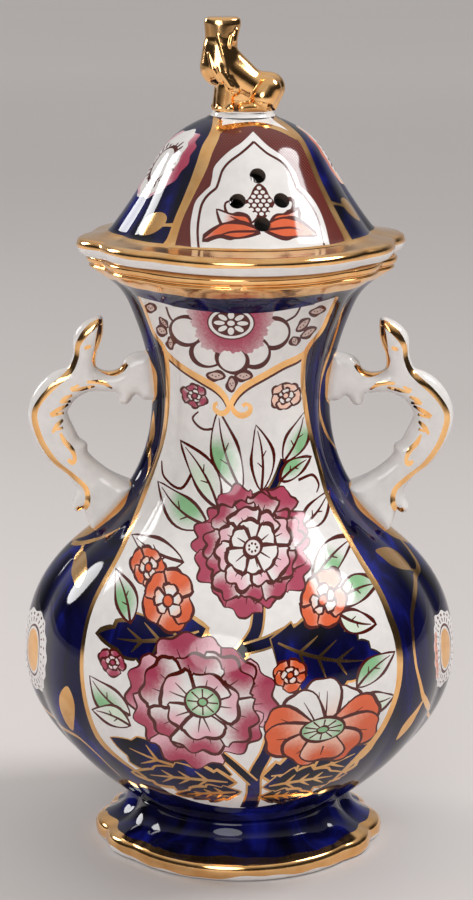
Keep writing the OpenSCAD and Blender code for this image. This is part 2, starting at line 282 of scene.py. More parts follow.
def lobe(angle, z):  # how deep the plan lies in its creases, from 0 to 1
    front = np.interp(z, plan["heights"], plan["frontAngles"])
    swell = np.interp(z, plan["swellHeights"], plan["obliqueSwells"])
    weights = [1, 4, 6, 4, 1]
    total = 0
    for k, weight in enumerate(weights):
        total = total + weight * sharpLobe(angle + (k - 2) * plan["softness"] / 2, front, swell)
    return total / sum(weights)


def reach(stations, z):  # cubic profile through stations of height, reach and slope
    s = np.array(stations, float)
    z = np.asarray(z, float)
    i = np.clip(np.searchsorted(s[:, 0], z) - 1, 0, len(s) - 2)
    a, b = s[i], s[i + 1]
    h = b[..., 0] - a[..., 0]
    t = (z - a[..., 0]) / h
    return ((2 * t ** 3 - 3 * t ** 2 + 1) * a[..., 1] + (t ** 3 - 2 * t ** 2 + t) * h * a[..., 2]
            + (3 * t ** 2 - 2 * t ** 3) * b[..., 1] + (t ** 3 - t ** 2) * h * b[..., 2])


def spline(points, closed=False, steps=6):  # smooth curve through points
    p = np.array(points, float)
    n = len(p)
    curve = []
    for i in range(n if closed else n - 1):
        near = [p[(i + k) % n] if closed else p[min(max(i + k, 0), n - 1)] for k in (-1, 0, 1, 2)]
        a, b, c, d = near
        for t in np.arange(steps) / steps:
            curve.append(b + (c - a) * t / 2 + (2 * a - 5 * b + 4 * c - d) * t ** 2 / 2
                         + (3 * b - a - 3 * c + d) * t ** 3 / 2)
    if not closed:
        curve.append(p[-1])
    return np.array(curve)


# a skin is one closed profile carried round the plan, unrolled to a plane for painting

def makeSkin(stretches, perDegree, turn=0.0):
    points = []
    rows = [0.0]
    ends = []
    length = 0.0
    for stretch, rowStep in stretches:
        p = np.array(stretch, float)
        if points:
            p = np.concatenate([[points[-1]], p])
        steps = np.hypot(*np.diff(p[:, :2], axis=0).T)
        total = steps.sum()
        count = max(1, round(total / rowStep))
        rows += [length + total * (k + 1) / count for k in range(count)]
        length += total
        ends.append(length)
        points += list(p if not points else p[1:])
    p = np.array(points)
    along = np.concatenate([[0], np.cumsum(np.hypot(*np.diff(p[:, :2], axis=0).T))])
    return {"along": along, "z": p[:, 0], "r": p[:, 1], "crease": p[:, 2], "rows": rows, "ends": ends,
            "turn": turn, "perDegree": perDegree}


def onSkin(skin, angle, v):
    z = np.interp(v, skin["along"], skin["z"])
    r = np.interp(v, skin["along"], skin["r"])
    r = np.maximum(r - np.interp(v, skin["along"], skin["crease"]) * lobe(angle, z), 0.0)
    a = np.radians(angle + skin["turn"])
    return np.stack([r * np.sin(a), -r * np.cos(a), z], -1)


def skinNormals(skin, angle, v):
    turnStep = 0.4  # degrees to either side
    upStep = 0.25
    across = onSkin(skin, angle + turnStep, v) - onSkin(skin, angle - turnStep, v)
    up = onSkin(skin, angle, v + upStep) - onSkin(skin, angle, v - upStep)
    n = np.cross(across, up)
    size = np.linalg.norm(n, axis=-1, keepdims=True)
    pole = size[:, 0] < 1e-9
    n = n / np.maximum(size, 1e-12)
    n[pole] = [0, 0, 1]
    return n


def outsideOf(skin, low, high):  # heights and places of the outside, for pinning a drawing on it
    keep = (skin["along"] >= low) & (skin["along"] <= high)
    skin["outZ"] = skin["z"][keep]
    skin["outV"] = skin["along"][keep]
    skin["outR"] = skin["r"][keep]
    skin["outCrease"] = skin["crease"][keep]


def upAt(skin, z):
    return np.interp(z, skin["outZ"], skin["outV"])


def pinFlat(skin, middle):  # a drawing seen from straight ahead, in millimetres across and up
    def place(points):
        p = np.array(points, float)
        whole = np.interp(p[:, 1], skin["outZ"], skin["outR"])
        crease = np.interp(p[:, 1], skin["outZ"], skin["outCrease"])
        a = np.zeros(len(p))
        for k in range(5):
            r = whole - crease * lobe(a, p[:, 1])
            a = np.degrees(np.arcsin(np.clip(p[:, 0] / r, -0.999, 0.999)))
        return np.stack([(a + middle) * skin["perDegree"], upAt(skin, p[:, 1])], -1)
    return place


def pinRound(skin, middle):  # a drawing laid round the skin, in millimetres along it and up
    def place(points):
        p = np.array(points, float)
        r = np.interp(p[:, 1], skin["outZ"], skin["outR"])
        a = middle + np.degrees(p[:, 0] / r)
        return np.stack([a * skin["perDegree"], upAt(skin, p[:, 1])], -1)
    return place


# brushes

lineWeight = 1.3  # of the brown lines round a painted shape


def newCanvas(place, marks=None):
    return {"place": place, "marks": [] if marks is None else marks}


def fill(canvas, outline, ink, wash=None, centre=None, radius=1.0, coat="enamel"):
    pinned = canvas["place"](outline)
    middle = np.mean(outline, axis=0) if centre is None else np.array(centre, float)
    wide, high = radius if isinstance(radius, tuple) else (radius, radius)
    corners = canvas["place"]([middle, middle + [wide, 0], middle + [0, high]])
    span = [abs(corners[1][0] - corners[0][0]), abs(corners[2][1] - corners[0][1])]
    canvas["marks"].append({
        "outline": pinned,
        "ink": enamels[ink],
        "wash": enamels[wash or ink],
        "centre": corners[0],
        "span": np.maximum(span, 1e-3),
        "coat": coats.index(coat),
    })


def gild(canvas, outline):
    fill(canvas, outline, "white", coat="gilt")


def blueIn(canvas, outline):
    fill(canvas, outline, "white", coat="cobalt")


def fatten(outline, width, wave=0.35, phase=0.0):  # the outline grown outwards, unevenly as by hand
    p = np.array(outline, float)
    ahead = np.roll(p, -1, 0) - np.roll(p, 1, 0)
    ahead /= np.maximum(np.hypot(*ahead.T), 1e-9)[:, None]
    area = np.sum(p[:, 0] * np.roll(p[:, 1], -1) - np.roll(p[:, 0], -1) * p[:, 1])
    out = np.stack([ahead[:, 1], -ahead[:, 0]], 1) * (1 if area > 0 else -1)
    bearing = np.arctan2(*(p - p.mean(0)).T[::-1])
    return p + out * (width * (1 + wave * np.sin(2 * bearing + phase)))[:, None]


def stroke(points, steps=5):  # a brush stroke through points of place and width
    p = spline(points, False, steps)
    ahead = np.gradient(p[:, :2], axis=0)
    ahead /= np.maximum(np.hypot(*ahead.T), 1e-9)[:, None]
    side = np.stack([-ahead[:, 1], ahead[:, 0]], 1) * p[:, 2:3] / 2
    return np.concatenate([p[:, :2] + side, (p[:, :2] - side)[::-1]])


def brush(canvas, points, ink="brown", steps=5):
    fill(canvas, stroke(points, steps), ink)


def outlined(canvas, outline, ink, wash=None, centre=None, radius=1.0, line=0.7, phase=0.0):
    fill(canvas, fatten(outline, line * lineWeight, 0.4, phase), "brown")
    fill(canvas, outline, ink, wash, centre, radius)


def moved(points, angle, x, z):
    c, s = math.cos(math.radians(angle)), math.sin(math.radians(angle))
    p = np.array(points, float)
    return np.stack([x + p[:, 0] * c - p[:, 1] * s, z + p[:, 0] * s + p[:, 1] * c], -1)


def oval(x, z, wide, high=None, count=24, angle=0.0):
    a = np.linspace(0, 2 * np.pi, count, endpoint=False)
    high = wide if high is None else high
    return moved(np.stack([wide * np.cos(a), high * np.sin(a)], -1), angle, x, z)


def petal(start, end, width, notch=0.0):  # one petal along x
    long = end - start
    half = [(start, 0.16), (start + 0.3 * long, 0.36), (start + 0.72 * long, 0.5), (start + 0.95 * long, 0.3)]
    upper = [(x, w * width) for x, w in half]
    tip = [(end - notch, 0.0)]
    lower = [(x, -w * width) for x, w in reversed(half)]
    return spline(upper + tip + lower, True, 3)


def ruffledPetal(start, end, spread, waves, phase):  # one broad petal along x, with a ruffled edge
    t = np.linspace(-1, 1, 15)
    far = end * (1 - 0.15 * t ** 2 + 0.045 * np.sin(waves * np.pi * t + phase) - 0.05 * np.exp(-(t * 5) ** 2))
    a = np.radians(spread) * t
    edge = np.stack([far * np.cos(a), far * np.sin(a)], -1)
    root = math.radians(spread) * 0.7
    heel = start * np.array([math.cos(root), math.sin(root)])
    return spline(np.concatenate([edge, [heel, heel * [1, -1]]]), True, 2)


def drawPetals(canvas, x, z, ring, squash, lean):  # one whorl of a flower, seen a little from the side
    for k in range(ring["petals"]):
        angle = ring["turn"] + 360 * (k + 0.16 * math.sin(2.1 * k + ring["turn"])) / ring["petals"]
        end = ring["end"] * (1 + 0.07 * math.sin(2.7 * k + ring["turn"]))
        shape = moved(ruffledPetal(ring["start"], end, ring["spread"], ring["waves"], k), angle, 0, 0)
        shape = moved(shape * [1, squash], lean, x, z)
        root = moved(moved([(ring["root"] * end, 0)], angle, 0, 0) * [1, squash], lean, x, z)[0]
        outlined(canvas, shape, ring["ink"], ring["wash"], root, end * ring["reach"], ring["line"], angle)
        for way in ring["veins"]:
            vein = [(ring["start"] + 1.0, way * 0.35), ((ring["start"] + end) * 0.5, way),
                    (end * 0.8, way * 1.25)]
            line = moved(moved(vein, angle, 0, 0) * [1, squash], lean, x, z)
            brush(canvas, [(*line[0], 0.6), (*line[1], 0.45), (*line[2], 0.2)], steps=3)


def drawHeart(canvas, x, z, wide, high, spokes, lean):  # seed head, cut into segments
    outlined(canvas, oval(x, z, wide, high, 26, lean), "mint", "green", (x, z), wide * 1.1)
    for k in range(spokes):
        a = 2 * math.pi * (k + 0.3) / spokes
        ends = moved([(0.3 * wide * math.cos(a), 0.3 * high * math.sin(a)),
                      (0.94 * wide * math.cos(a), 0.94 * high * math.sin(a))], lean, x, z)
        brush(canvas, [(*ends[0], 0.45), (*ends[1], 0.6)], steps=2)
    outlined(canvas, oval(x, z, wide * 0.24, high * 0.24, 12, lean), "green", line=0.5)


def leafSides(base, tip, width, bend, teeth=0, steps=12):
    base, tip = np.array(base, float), np.array(tip, float)
    chord = tip - base
    side = np.array([-chord[1], chord[0]]) / np.hypot(*chord)
    t = np.linspace(0, 1, steps + 1)[:, None]
    middle = base + chord * t + side * (4 * bend * t * (1 - t))
    half = width / 2 * np.sin(np.pi * t ** 0.85)
    if teeth:
        half = half * (1 + 0.42 * (((t * teeth) % 1) - 0.5))
    return middle, middle + side * half, middle - side * half


def leaf(canvas, base, tip, width, bend=0.0, ink="green", wash="white", flip=False):
    middle, left, right = leafSides(base, tip, width, bend)
    outline = np.concatenate([left, right[-2:0:-1]])
    shade = (right if flip else left)[5]
    outlined(canvas, outline, ink, wash, shade, width * 1.15, 0.66, base[0])
    rib = [(*middle[k], w) for k, w in ((0, 1.0), (4, 0.9), (8, 0.65), (11, 0.3))]
    brush(canvas, rib, steps=3)
    for k, way in ((4, left), (6, right)):
        out = middle[k] * 0.45 + way[k + 2] * 0.55
        brush(canvas, [(*middle[k], 0.6), (*out, 0.3)], steps=2)


def blueLeaf(canvas, base, tip, width, bend=0.0, teeth=5):
    middle, left, right = leafSides(base, tip, width, bend, teeth, 30)
    outline = np.concatenate([left, right[-2:0:-1]])
    gild(canvas, fatten(outline, 0.95, 0.5, tip[0]))
    blueIn(canvas, outline)
    gild(canvas, stroke([(*middle[k], w) for k, w in ((2, 0.6), (9, 1.3), (18, 1.1), (25, 0.3))], 3))
    for k in (8, 13, 18):
        for way in (left, right):
            out = middle[k] * 0.3 + way[k + 5] * 0.7
            gild(canvas, stroke([(*middle[k], 1.1), (*(middle[k] * 0.5 + out * 0.5), 0.9), (*out, 0.25)], 2))


def blueStem(canvas, points, edge=0.75):
    wide = [(x, z, w + 2 * edge) for x, z, w in points]
    gild(canvas, stroke(wide, 6))
    blueIn(canvas, stroke(points, 6))


# a band right round the skin, with hand-drawn edges
def wavyBand(skin, low, high, wobble, phase=0.0, edges=(True, True)):
    a = np.arange(-93.0, 273.1, 1.5)
    t = np.radians(a)
    wave = np.sin(5 * t + phase) * 0.5 + np.sin(11 * t + 2 * phase) * 0.3 + np.sin(23 * t + 1.3) * 0.2
    wave = wobble * wave
    lower = low + (wave if edges[0] else 0 * wave)
    upper = high + (np.roll(wave, 37) if edges[1] else 0 * wave)
    u = a * skin["perDegree"]
    return np.concatenate([np.stack([u, lower], -1), np.stack([u, upper], -1)[::-1]])


def bandMark(outline, coat, ink="white"):
    return {"outline": outline, "ink": enamels[ink], "wash": enamels[ink], "centre": outline[0],
            "span": np.array([1.0, 1.0]), "coat": coats.index(coat)}


# cutting a skin along its drawing

def insideOutline(u, v, outline):
    result = np.zeros(len(u), bool)
    ends = np.roll(outline, -1, 0)
    for (u0, v0), (u1, v1) in zip(outline, ends):
        if v0 == v1:
            continue
        crossing = ((v0 > v) != (v1 > v)) & (u < (u1 - u0) * (v - v0) / (v1 - v0) + u0)
        result ^= crossing
    return result


def addLoop(points, edges, outline):
    start = len(points)
    count = len(outline)
    points += [Vector(p) for p in outline]
    edges += [(start + k, start + (k + 1) % count) for k in range(count)]


def triangulate(points, edges):
    nearest = 1e-5  # millimetres within which two points are one
    cut = delaunay_2d_cdt(points, edges, [], 0, nearest, False)
    flat = np.array([tuple(p) for p in cut[0]])
    return flat, np.array([f for f in cut[2] if len(f) == 3])


def cutPlane(points, edges, marks, holes, keepInside):
    for outline in [mark["outline"] for mark in marks] + list(holes):
        addLoop(points, edges, outline)
    flat, faces = triangulate(points, edges)
    corner = flat[faces]
    area = np.cross(corner[:, 1] - corner[:, 0], corner[:, 2] - corner[:, 0])
    faces[area < 0] = faces[area < 0][:, ::-1]
    middle = flat[faces].mean(1)
    keep = (np.abs(area) > 1e-7) & keepInside(middle)
    for hole in holes:
        keep &= ~insideOutline(middle[:, 0], middle[:, 1], hole)
    faces = faces[keep]
    middle = middle[keep]
    top = np.full(len(faces), -1)
    for index, mark in enumerate(marks):
        low, high = mark["outline"].min(0), mark["outline"].max(0)
        near = np.where(((middle >= low) & (middle <= high)).all(1))[0]
        hit = insideOutline(middle[near, 0], middle[near, 1], mark["outline"])
        top[near[hit]] = index
    return flat, faces, top


def weld(points, faces):  # one vertex for each place
    perMillimetre = 5000
    keys = np.round(points * perMillimetre).astype(np.int64)
    _, first, back = np.unique(keys, axis=0, return_index=True, return_inverse=True)
    back = back.reshape(-1)
    faces = back[faces]
    whole = (faces[:, 0] != faces[:, 1]) & (faces[:, 1] != faces[:, 2]) & (faces[:, 0] != faces[:, 2])
    return points[first], faces, whole


def paintedMesh(name, points, faces, normals, flat, top, marks, ground):
    points, welded, whole = weld(points, faces)
    faces, welded, top = faces[whole], welded[whole], top[whole]
    normals = None if normals is None else normals[whole]
    mesh = bpy.data.meshes.new(name)
    mesh.from_pydata((points * mm).tolist(), [], welded.tolist())
    for material in coatMaterials:
        mesh.materials.append(material)
    blank = np.zeros((3, 2))
    # painted shade for the pierced walls, and last the ground coat, which index -1 finds
    allMarks = marks + [bandMark(blank, "enamel", "paintedHoleShade"), bandMark(blank, ground)]
    coat = np.array([m["coat"] for m in allMarks])
    ink = np.array([(*m["ink"], 1.0) for m in allMarks])
    wash = np.array([(*m["wash"], 1.0) for m in allMarks])
    centre = np.array([m["centre"] for m in allMarks])
    span = np.array([m["span"] for m in allMarks])
    mesh.polygons.foreach_set("material_index", coat[top].astype(np.int32))
    mesh.polygons.foreach_set("use_smooth", np.ones(len(welded), bool))
    for label, colours in (("ink", ink), ("wash", wash)):
        layer = mesh.attributes.new(label, "FLOAT_COLOR", "CORNER")
        layer.data.foreach_set("color", np.repeat(colours[top], 3, 0).astype(np.float32).ravel())
    spread = (flat[faces] - centre[top][:, None]) / span[top][:, None]
    mesh.uv_layers.new(name="spread").data.foreach_set("uv", spread.astype(np.float32).ravel())
    mesh.update()
    if normals is not None:
        mesh.normals_split_custom_set(normals.reshape(-1, 3).tolist())
    piece = bpy.data.objects.new(name, mesh)
    bpy.context.collection.objects.link(piece)
    print(name, len(welded), "triangles")
    return piece


def buildSkin(name, skin, marks, ground, holes=(), tubes=()):
    columnStep = 2.5  # degrees
    cellSize = 0.7  # millimetres kept free round a painted outline
    angles = np.arange(-90, 270.001, columnStep)
    rows = np.array(skin["rows"])
    per = skin["perDegree"]
    outlines = np.concatenate([m["outline"] for m in marks] + [np.array(h) for h in holes])
    taken = {(int(p[0] / cellSize), int(p[1] / cellSize)) for p in outlines}
    points = []
    edges = []
    for v in rows:
        for a in angles:
            u = a * per
            edge = a in (angles[0], angles[-1]) or v in (rows[0], rows[-1])
            cell = (int(u / cellSize), int(v / cellSize))
            close = any((cell[0] + i, cell[1] + j) in taken for i in (-1, 0, 1) for j in (-1, 0, 1))
            if edge or not close:
                points.append(Vector((u, v)))
    corners = [(angles[0], rows[0]), (angles[-1], rows[0]), (angles[-1], rows[-1]), (angles[0], rows[-1])]
    addLoop(points, edges, [(a * per, v) for a, v in corners])

    def inDomain(middle):
        return ((middle[:, 0] > angles[0] * per) & (middle[:, 0] < angles[-1] * per)
                & (middle[:, 1] > rows[0]) & (middle[:, 1] < rows[-1]))

    flat, faces, top = cutPlane(points, edges, marks, holes, inDomain)
    solid = onSkin(skin, flat[:, 0] / per, flat[:, 1])
    normals = skinNormals(skin, flat[:, 0] / per, flat[:, 1])[faces]
    for outer, inner in tubes:  # walls of the pierced holes
        count = len(outer)
        first = len(flat)
        flat = np.concatenate([flat, outer, inner])
        ends = np.concatenate([onSkin(skin, edge[:, 0] / per, edge[:, 1]) for edge in (outer, inner)])
        solid = np.concatenate([solid, ends])
        k = np.arange(count)
        n = (k + 1) % count
        walls = np.concatenate([np.stack([first + k, first + count + k, first + n], -1),
                                np.stack([first + n, first + count + k, first + count + n], -1)])
        axis = ends[:count].mean(0) - ends[count:].mean(0)
        axis /= np.linalg.norm(axis)
        inward = ends[:count].mean(0) - ends[:count]
        inward -= (inward @ axis)[:, None] * axis
        inward /= np.linalg.norm(inward, axis=1, keepdims=True)
        both = np.concatenate([inward, inward])
        flipped = np.cross(ends[n[0]] - ends[0], ends[count] - ends[0]) @ inward[0] > 0
        if flipped:
            walls = walls[:, ::-1]
        faces = np.concatenate([faces, walls])
        top = np.concatenate([top, np.full(len(walls), len(marks))])  # of the painted shade in the pierced walls
        normals = np.concatenate([normals, both[walls - first]])
    return paintedMesh(name, solid, faces, normals, flat, top, marks, ground)


# body of the vase

vase = {
    "profile": [[18, 40.4, 1.45], [70, 77.8, 0], [114, 56.8, -1.22], [164, 31.8, 0], [197, 39.6, 0.42],
                [208, 49, 1.6]],
    "crease": 3.2,
    "rim": [[209.8, 51.9, 3.8], [211.5, 54.2, 4.4], [212.4, 53.5, 4.4], [213.2, 54.7, 4.4],
            [214.2, 55.1, 4.4], [215.2, 54.9, 4.4], [216, 53.2, 4.4]],
    "mouth": [[216, 42.6, 0], [215.4, 42, 0], [205.8, 42, 0]],
    "wall": 4.5,
    "underside": [[18, 0, 0], [18, 39.8, 3.2]],
    "bottom": [[23, 36, 3.2], [23, 0, 0]],  # inside
    "goldFrom": 207.5,
    "goldTo": 3.0,  # along the top of the rim
}


def innerWall(profile, z, wall):
    slope = (reach(profile, z + 0.1) - reach(profile, z - 0.1)) / 0.2
    return reach(profile, z) - wall * np.sqrt(1 + slope ** 2)


def ringPoints(z, r, crease):
    return np.stack([z, r, np.full(len(z), crease)], -1)


upward = np.arange(18, 208.01, 1.0)
downward = np.arange(205, 23, -2.0)
vaseSkin = makeSkin([
    (vase["underside"], 13),
    (ringPoints(upward, reach(vase["profile"], upward), vase["crease"]), 2.6),
    (spline(vase["rim"], False, 4), 0.7),
    (vase["mouth"], 3),
    (ringPoints(downward, innerWall(vase["profile"], downward, vase["wall"]), vase["crease"]), 8),
    (vase["bottom"], 13),
], 1.0)
outsideOf(vaseSkin, vaseSkin["ends"][0], vaseSkin["ends"][2])

panel = {
    "right": [(32.8, 204.6), (30, 197), (27.6, 191.6), (22.4, 185.2), (21.4, 176), (22, 168), (24, 156),
              (27.6, 142.6), (31.1, 131.4), (38.6, 118), (47.8, 104.3), (52, 95), (54.4, 88),
              (55.4, 79.4), (54.4, 70), (51, 61), (46.5, 53.5), (41, 47.6), (32, 38)],
    "foot": [(24.4, 33.4), (14, 30), (0, 28.1), (-14, 30), (-24.4, 33.4)],
    "left": [(-36, 203.4), (-33.5, 197), (-31, 190), (-26.8, 183.8), (-25.8, 170.7), (-27, 154.8),
             (-30.5, 142), (-35.6, 128.6), (-41.5, 116), (-50.7, 100.6), (-54.4, 87.6), (-54.9, 74),
             (-51.9, 59), (-46.4, 49.3), (-32.4, 39.3)],
    "top": [(-24, 202.4), (-10, 201.6), (0, 201.5), (10, 201.9), (22, 203)],
    "rightWidths": [1.2, 1.4, 1.6, 1.8, 1.7, 1.6, 1.5, 1.4, 1.3, 1.4, 1.7, 2.1, 2.3, 2.2, 2.0, 2.2, 2.4,
                    2.3, 0.6],
    "leftWidths": [0.6, 1.2, 1.3, 1.5, 1.6, 1.5, 1.4, 1.3, 1.3, 1.2, 1.3, 1.4, 1.7, 2.3, 0.8],
}


def drawPanel(canvas):
    sides = [spline(panel["right"], False, 5), spline(panel["foot"], False, 6),
             spline(panel["left"][::-1], False, 5)]
    fill(canvas, np.concatenate(sides + [spline(panel["top"], False, 4)]), "white")


def drawBorders(canvas):
    for side in ("right", "left"):
        gild(canvas, stroke([(*p, w) for p, w in zip(panel[side], panel[side + "Widths"])], 5))


collar = {
    "petals": [(-19.3, 193.4, 5.0), (10.9, 193.6, 5.0), (-11.8, 185.9, 4.9), (4.1, 186.8, 5.0),
               (-3.4, 184, 4.6)],
    "middle": (-3.9, 198.2),
    "washReach": (21.5, 17.8),
    "fan": (11.8, 9.6),
    "discs": [("brown", 8.2, 6.2, 32), ("white", 7.7, 5.7, 32), ("brown", 6.6, 4.8, 30)],
    "discDrop": 0.6,
    "feelers": [[(-26.2, 201.4, 0.7), (-25, 197.6, 0.8), (-22.8, 195.4, 0.8)],
                [(19.9, 203, 0.7), (18.2, 199.6, 0.8), (14.6, 197.6, 0.8)]],
    "blueEdge": [(-40, 202.8), (-24, 202.2), (-10, 201.6), (0, 201.4), (10, 201.8), (22, 202.9),
                 (36, 203.6)],
    "blueTop": [(24, 208), (12, 208), (0, 208), (-12, 208), (-24, 208)],
    "ogeeLeft": [(-27.4, 184.4, 1.4), (-24.4, 181.4, 2.0), (-19.6, 178.6, 2.2), (-14, 176, 2.4),
                 (-9, 173.4, 2.4), (-6, 170.4, 2.0), (-4.6, 167.4, 1.6)],
    "ogeeRight": [(22.8, 185, 1.8), (19, 183, 2.4), (14.2, 181.4, 2.4), (8, 178.2, 2.3),
                  (1.6, 174.6, 2.3), (-2, 171, 2.0), (-3.8, 167.4, 1.6)],
    "scrollLeft": [(-4.3, 168, 1.2), (-5, 165.4, 1.8), (-7, 164.2, 2.0), (-9.2, 165.4, 1.6),
                   (-9.4, 167.2, 1.2), (-8.3, 167.7, 1.6)],
    "scrollRight": [(-3.7, 168, 1.2), (-2.6, 165.2, 1.8), (-0.2, 163.7, 2.2), (2.4, 164.6, 2.0),
                    (3, 166.8, 1.5), (1.4, 167.9, 1.2), (0.4, 167, 1.6)],
    "seeds": [(-31.8, 199.6, 1.6, 1.6, 0), (-27.9, 191.4, 1.9, 1.5, -20), (-27.2, 194.8, 2.2, 0.7, -50),
              (-24.8, 187.3, 0.8, 2.2, 0), (26, 200, 2.7, 1.2, 0), (21, 195.6, 3.0, 1.2, 42),
              (23, 192.2, 2.9, 1.2, 24), (18.2, 189.8, 1.1, 1.7, 20), (-9, 177.7, 3.0, 1.4, 0),
              (0.6, 178, 2.8, 1.4, 0), (-3.5, 175, 1.3, 2.6, 0)],
}


def seedShape(x, z, wide, high, turn):  # pointed at its two ends
    t = np.linspace(0, 2 * np.pi, 22, endpoint=False)
    along = np.cos(t)
    across = np.sin(t) * np.abs(np.sin(t)) ** 0.7
    x0, z0 = (along * wide, across * high) if wide > high else (across * wide, along * high)
    return moved(np.stack([x0, z0], -1), turn, x, z)


def drawCollar(canvas):  # half a flower under the rim, over a gilded ogee
    x, z = collar["middle"]
    for feeler in collar["feelers"]:
        brush(canvas, feeler)
    for px, pz, size in collar["petals"]:
        outlined(canvas, oval(px, pz, size, size * 0.94, 30), "white", line=1.0, phase=px)
    wide, high = collar["fan"]
    fill(canvas, oval(x, z, wide, high, 40), "white")
    a = np.linspace(-0.06 * np.pi, 2 * np.pi * 0.97, 150)
    ragged = 1.13 + 0.08 * np.sin(5 * a) + 0.045 * np.sin(17 * a + 2) + 0.03 * np.sin(41 * a + 1)
    feathers = np.stack([x + wide * 1.06 * ragged * np.cos(a), z + high * 1.12 * ragged * np.sin(a)], -1)
    fill(canvas, feathers, "rose", "white", (x, z), collar["washReach"])
    z = z - collar["discDrop"]
    for ink, wide, high, count in collar["discs"]:
        fill(canvas, oval(x, z, wide, high, count), ink)
    for k in range(8):
        bit = oval(4.0, 0, 1.9, 1.1, 14)
        turned = moved(bit, 45 * k, 0, 0) * [1.0, 0.74]
        fill(canvas, turned + [x, z], "white")
    outlined(canvas, oval(x, z, 1.3, 1.0, 12), "white", line=0.5)
    for x, z, wide, high, turn in collar["seeds"]:
        outlined(canvas, seedShape(x, z, wide * 0.86, high * 0.86, turn), "mauve", line=0.74, phase=turn)
        specks = [(-0.4 * wide, 0.1), (0.0, -0.2 * high), (0.36 * wide, 0.16 * high)]
        for px, pz in moved(specks, turn, x, z):
            fill(canvas, oval(px, pz, 0.26, count=8), "brown")
    edge = spline(collar["blueEdge"], False, 5)
    blueIn(canvas, np.concatenate([edge[5:-4], collar["blueTop"]]))
    for name in ("ogeeLeft", "ogeeRight"):
        lower = [(px + 0.1, pz - 0.75, w + 0.3) for px, pz, w in collar[name]]
        brush(canvas, lower)
        gild(canvas, stroke(collar[name], 6))
    for name in ("scrollLeft", "scrollRight"):
        line = spline(collar[name], False, 5)
        gild(canvas, stroke(line, 1))


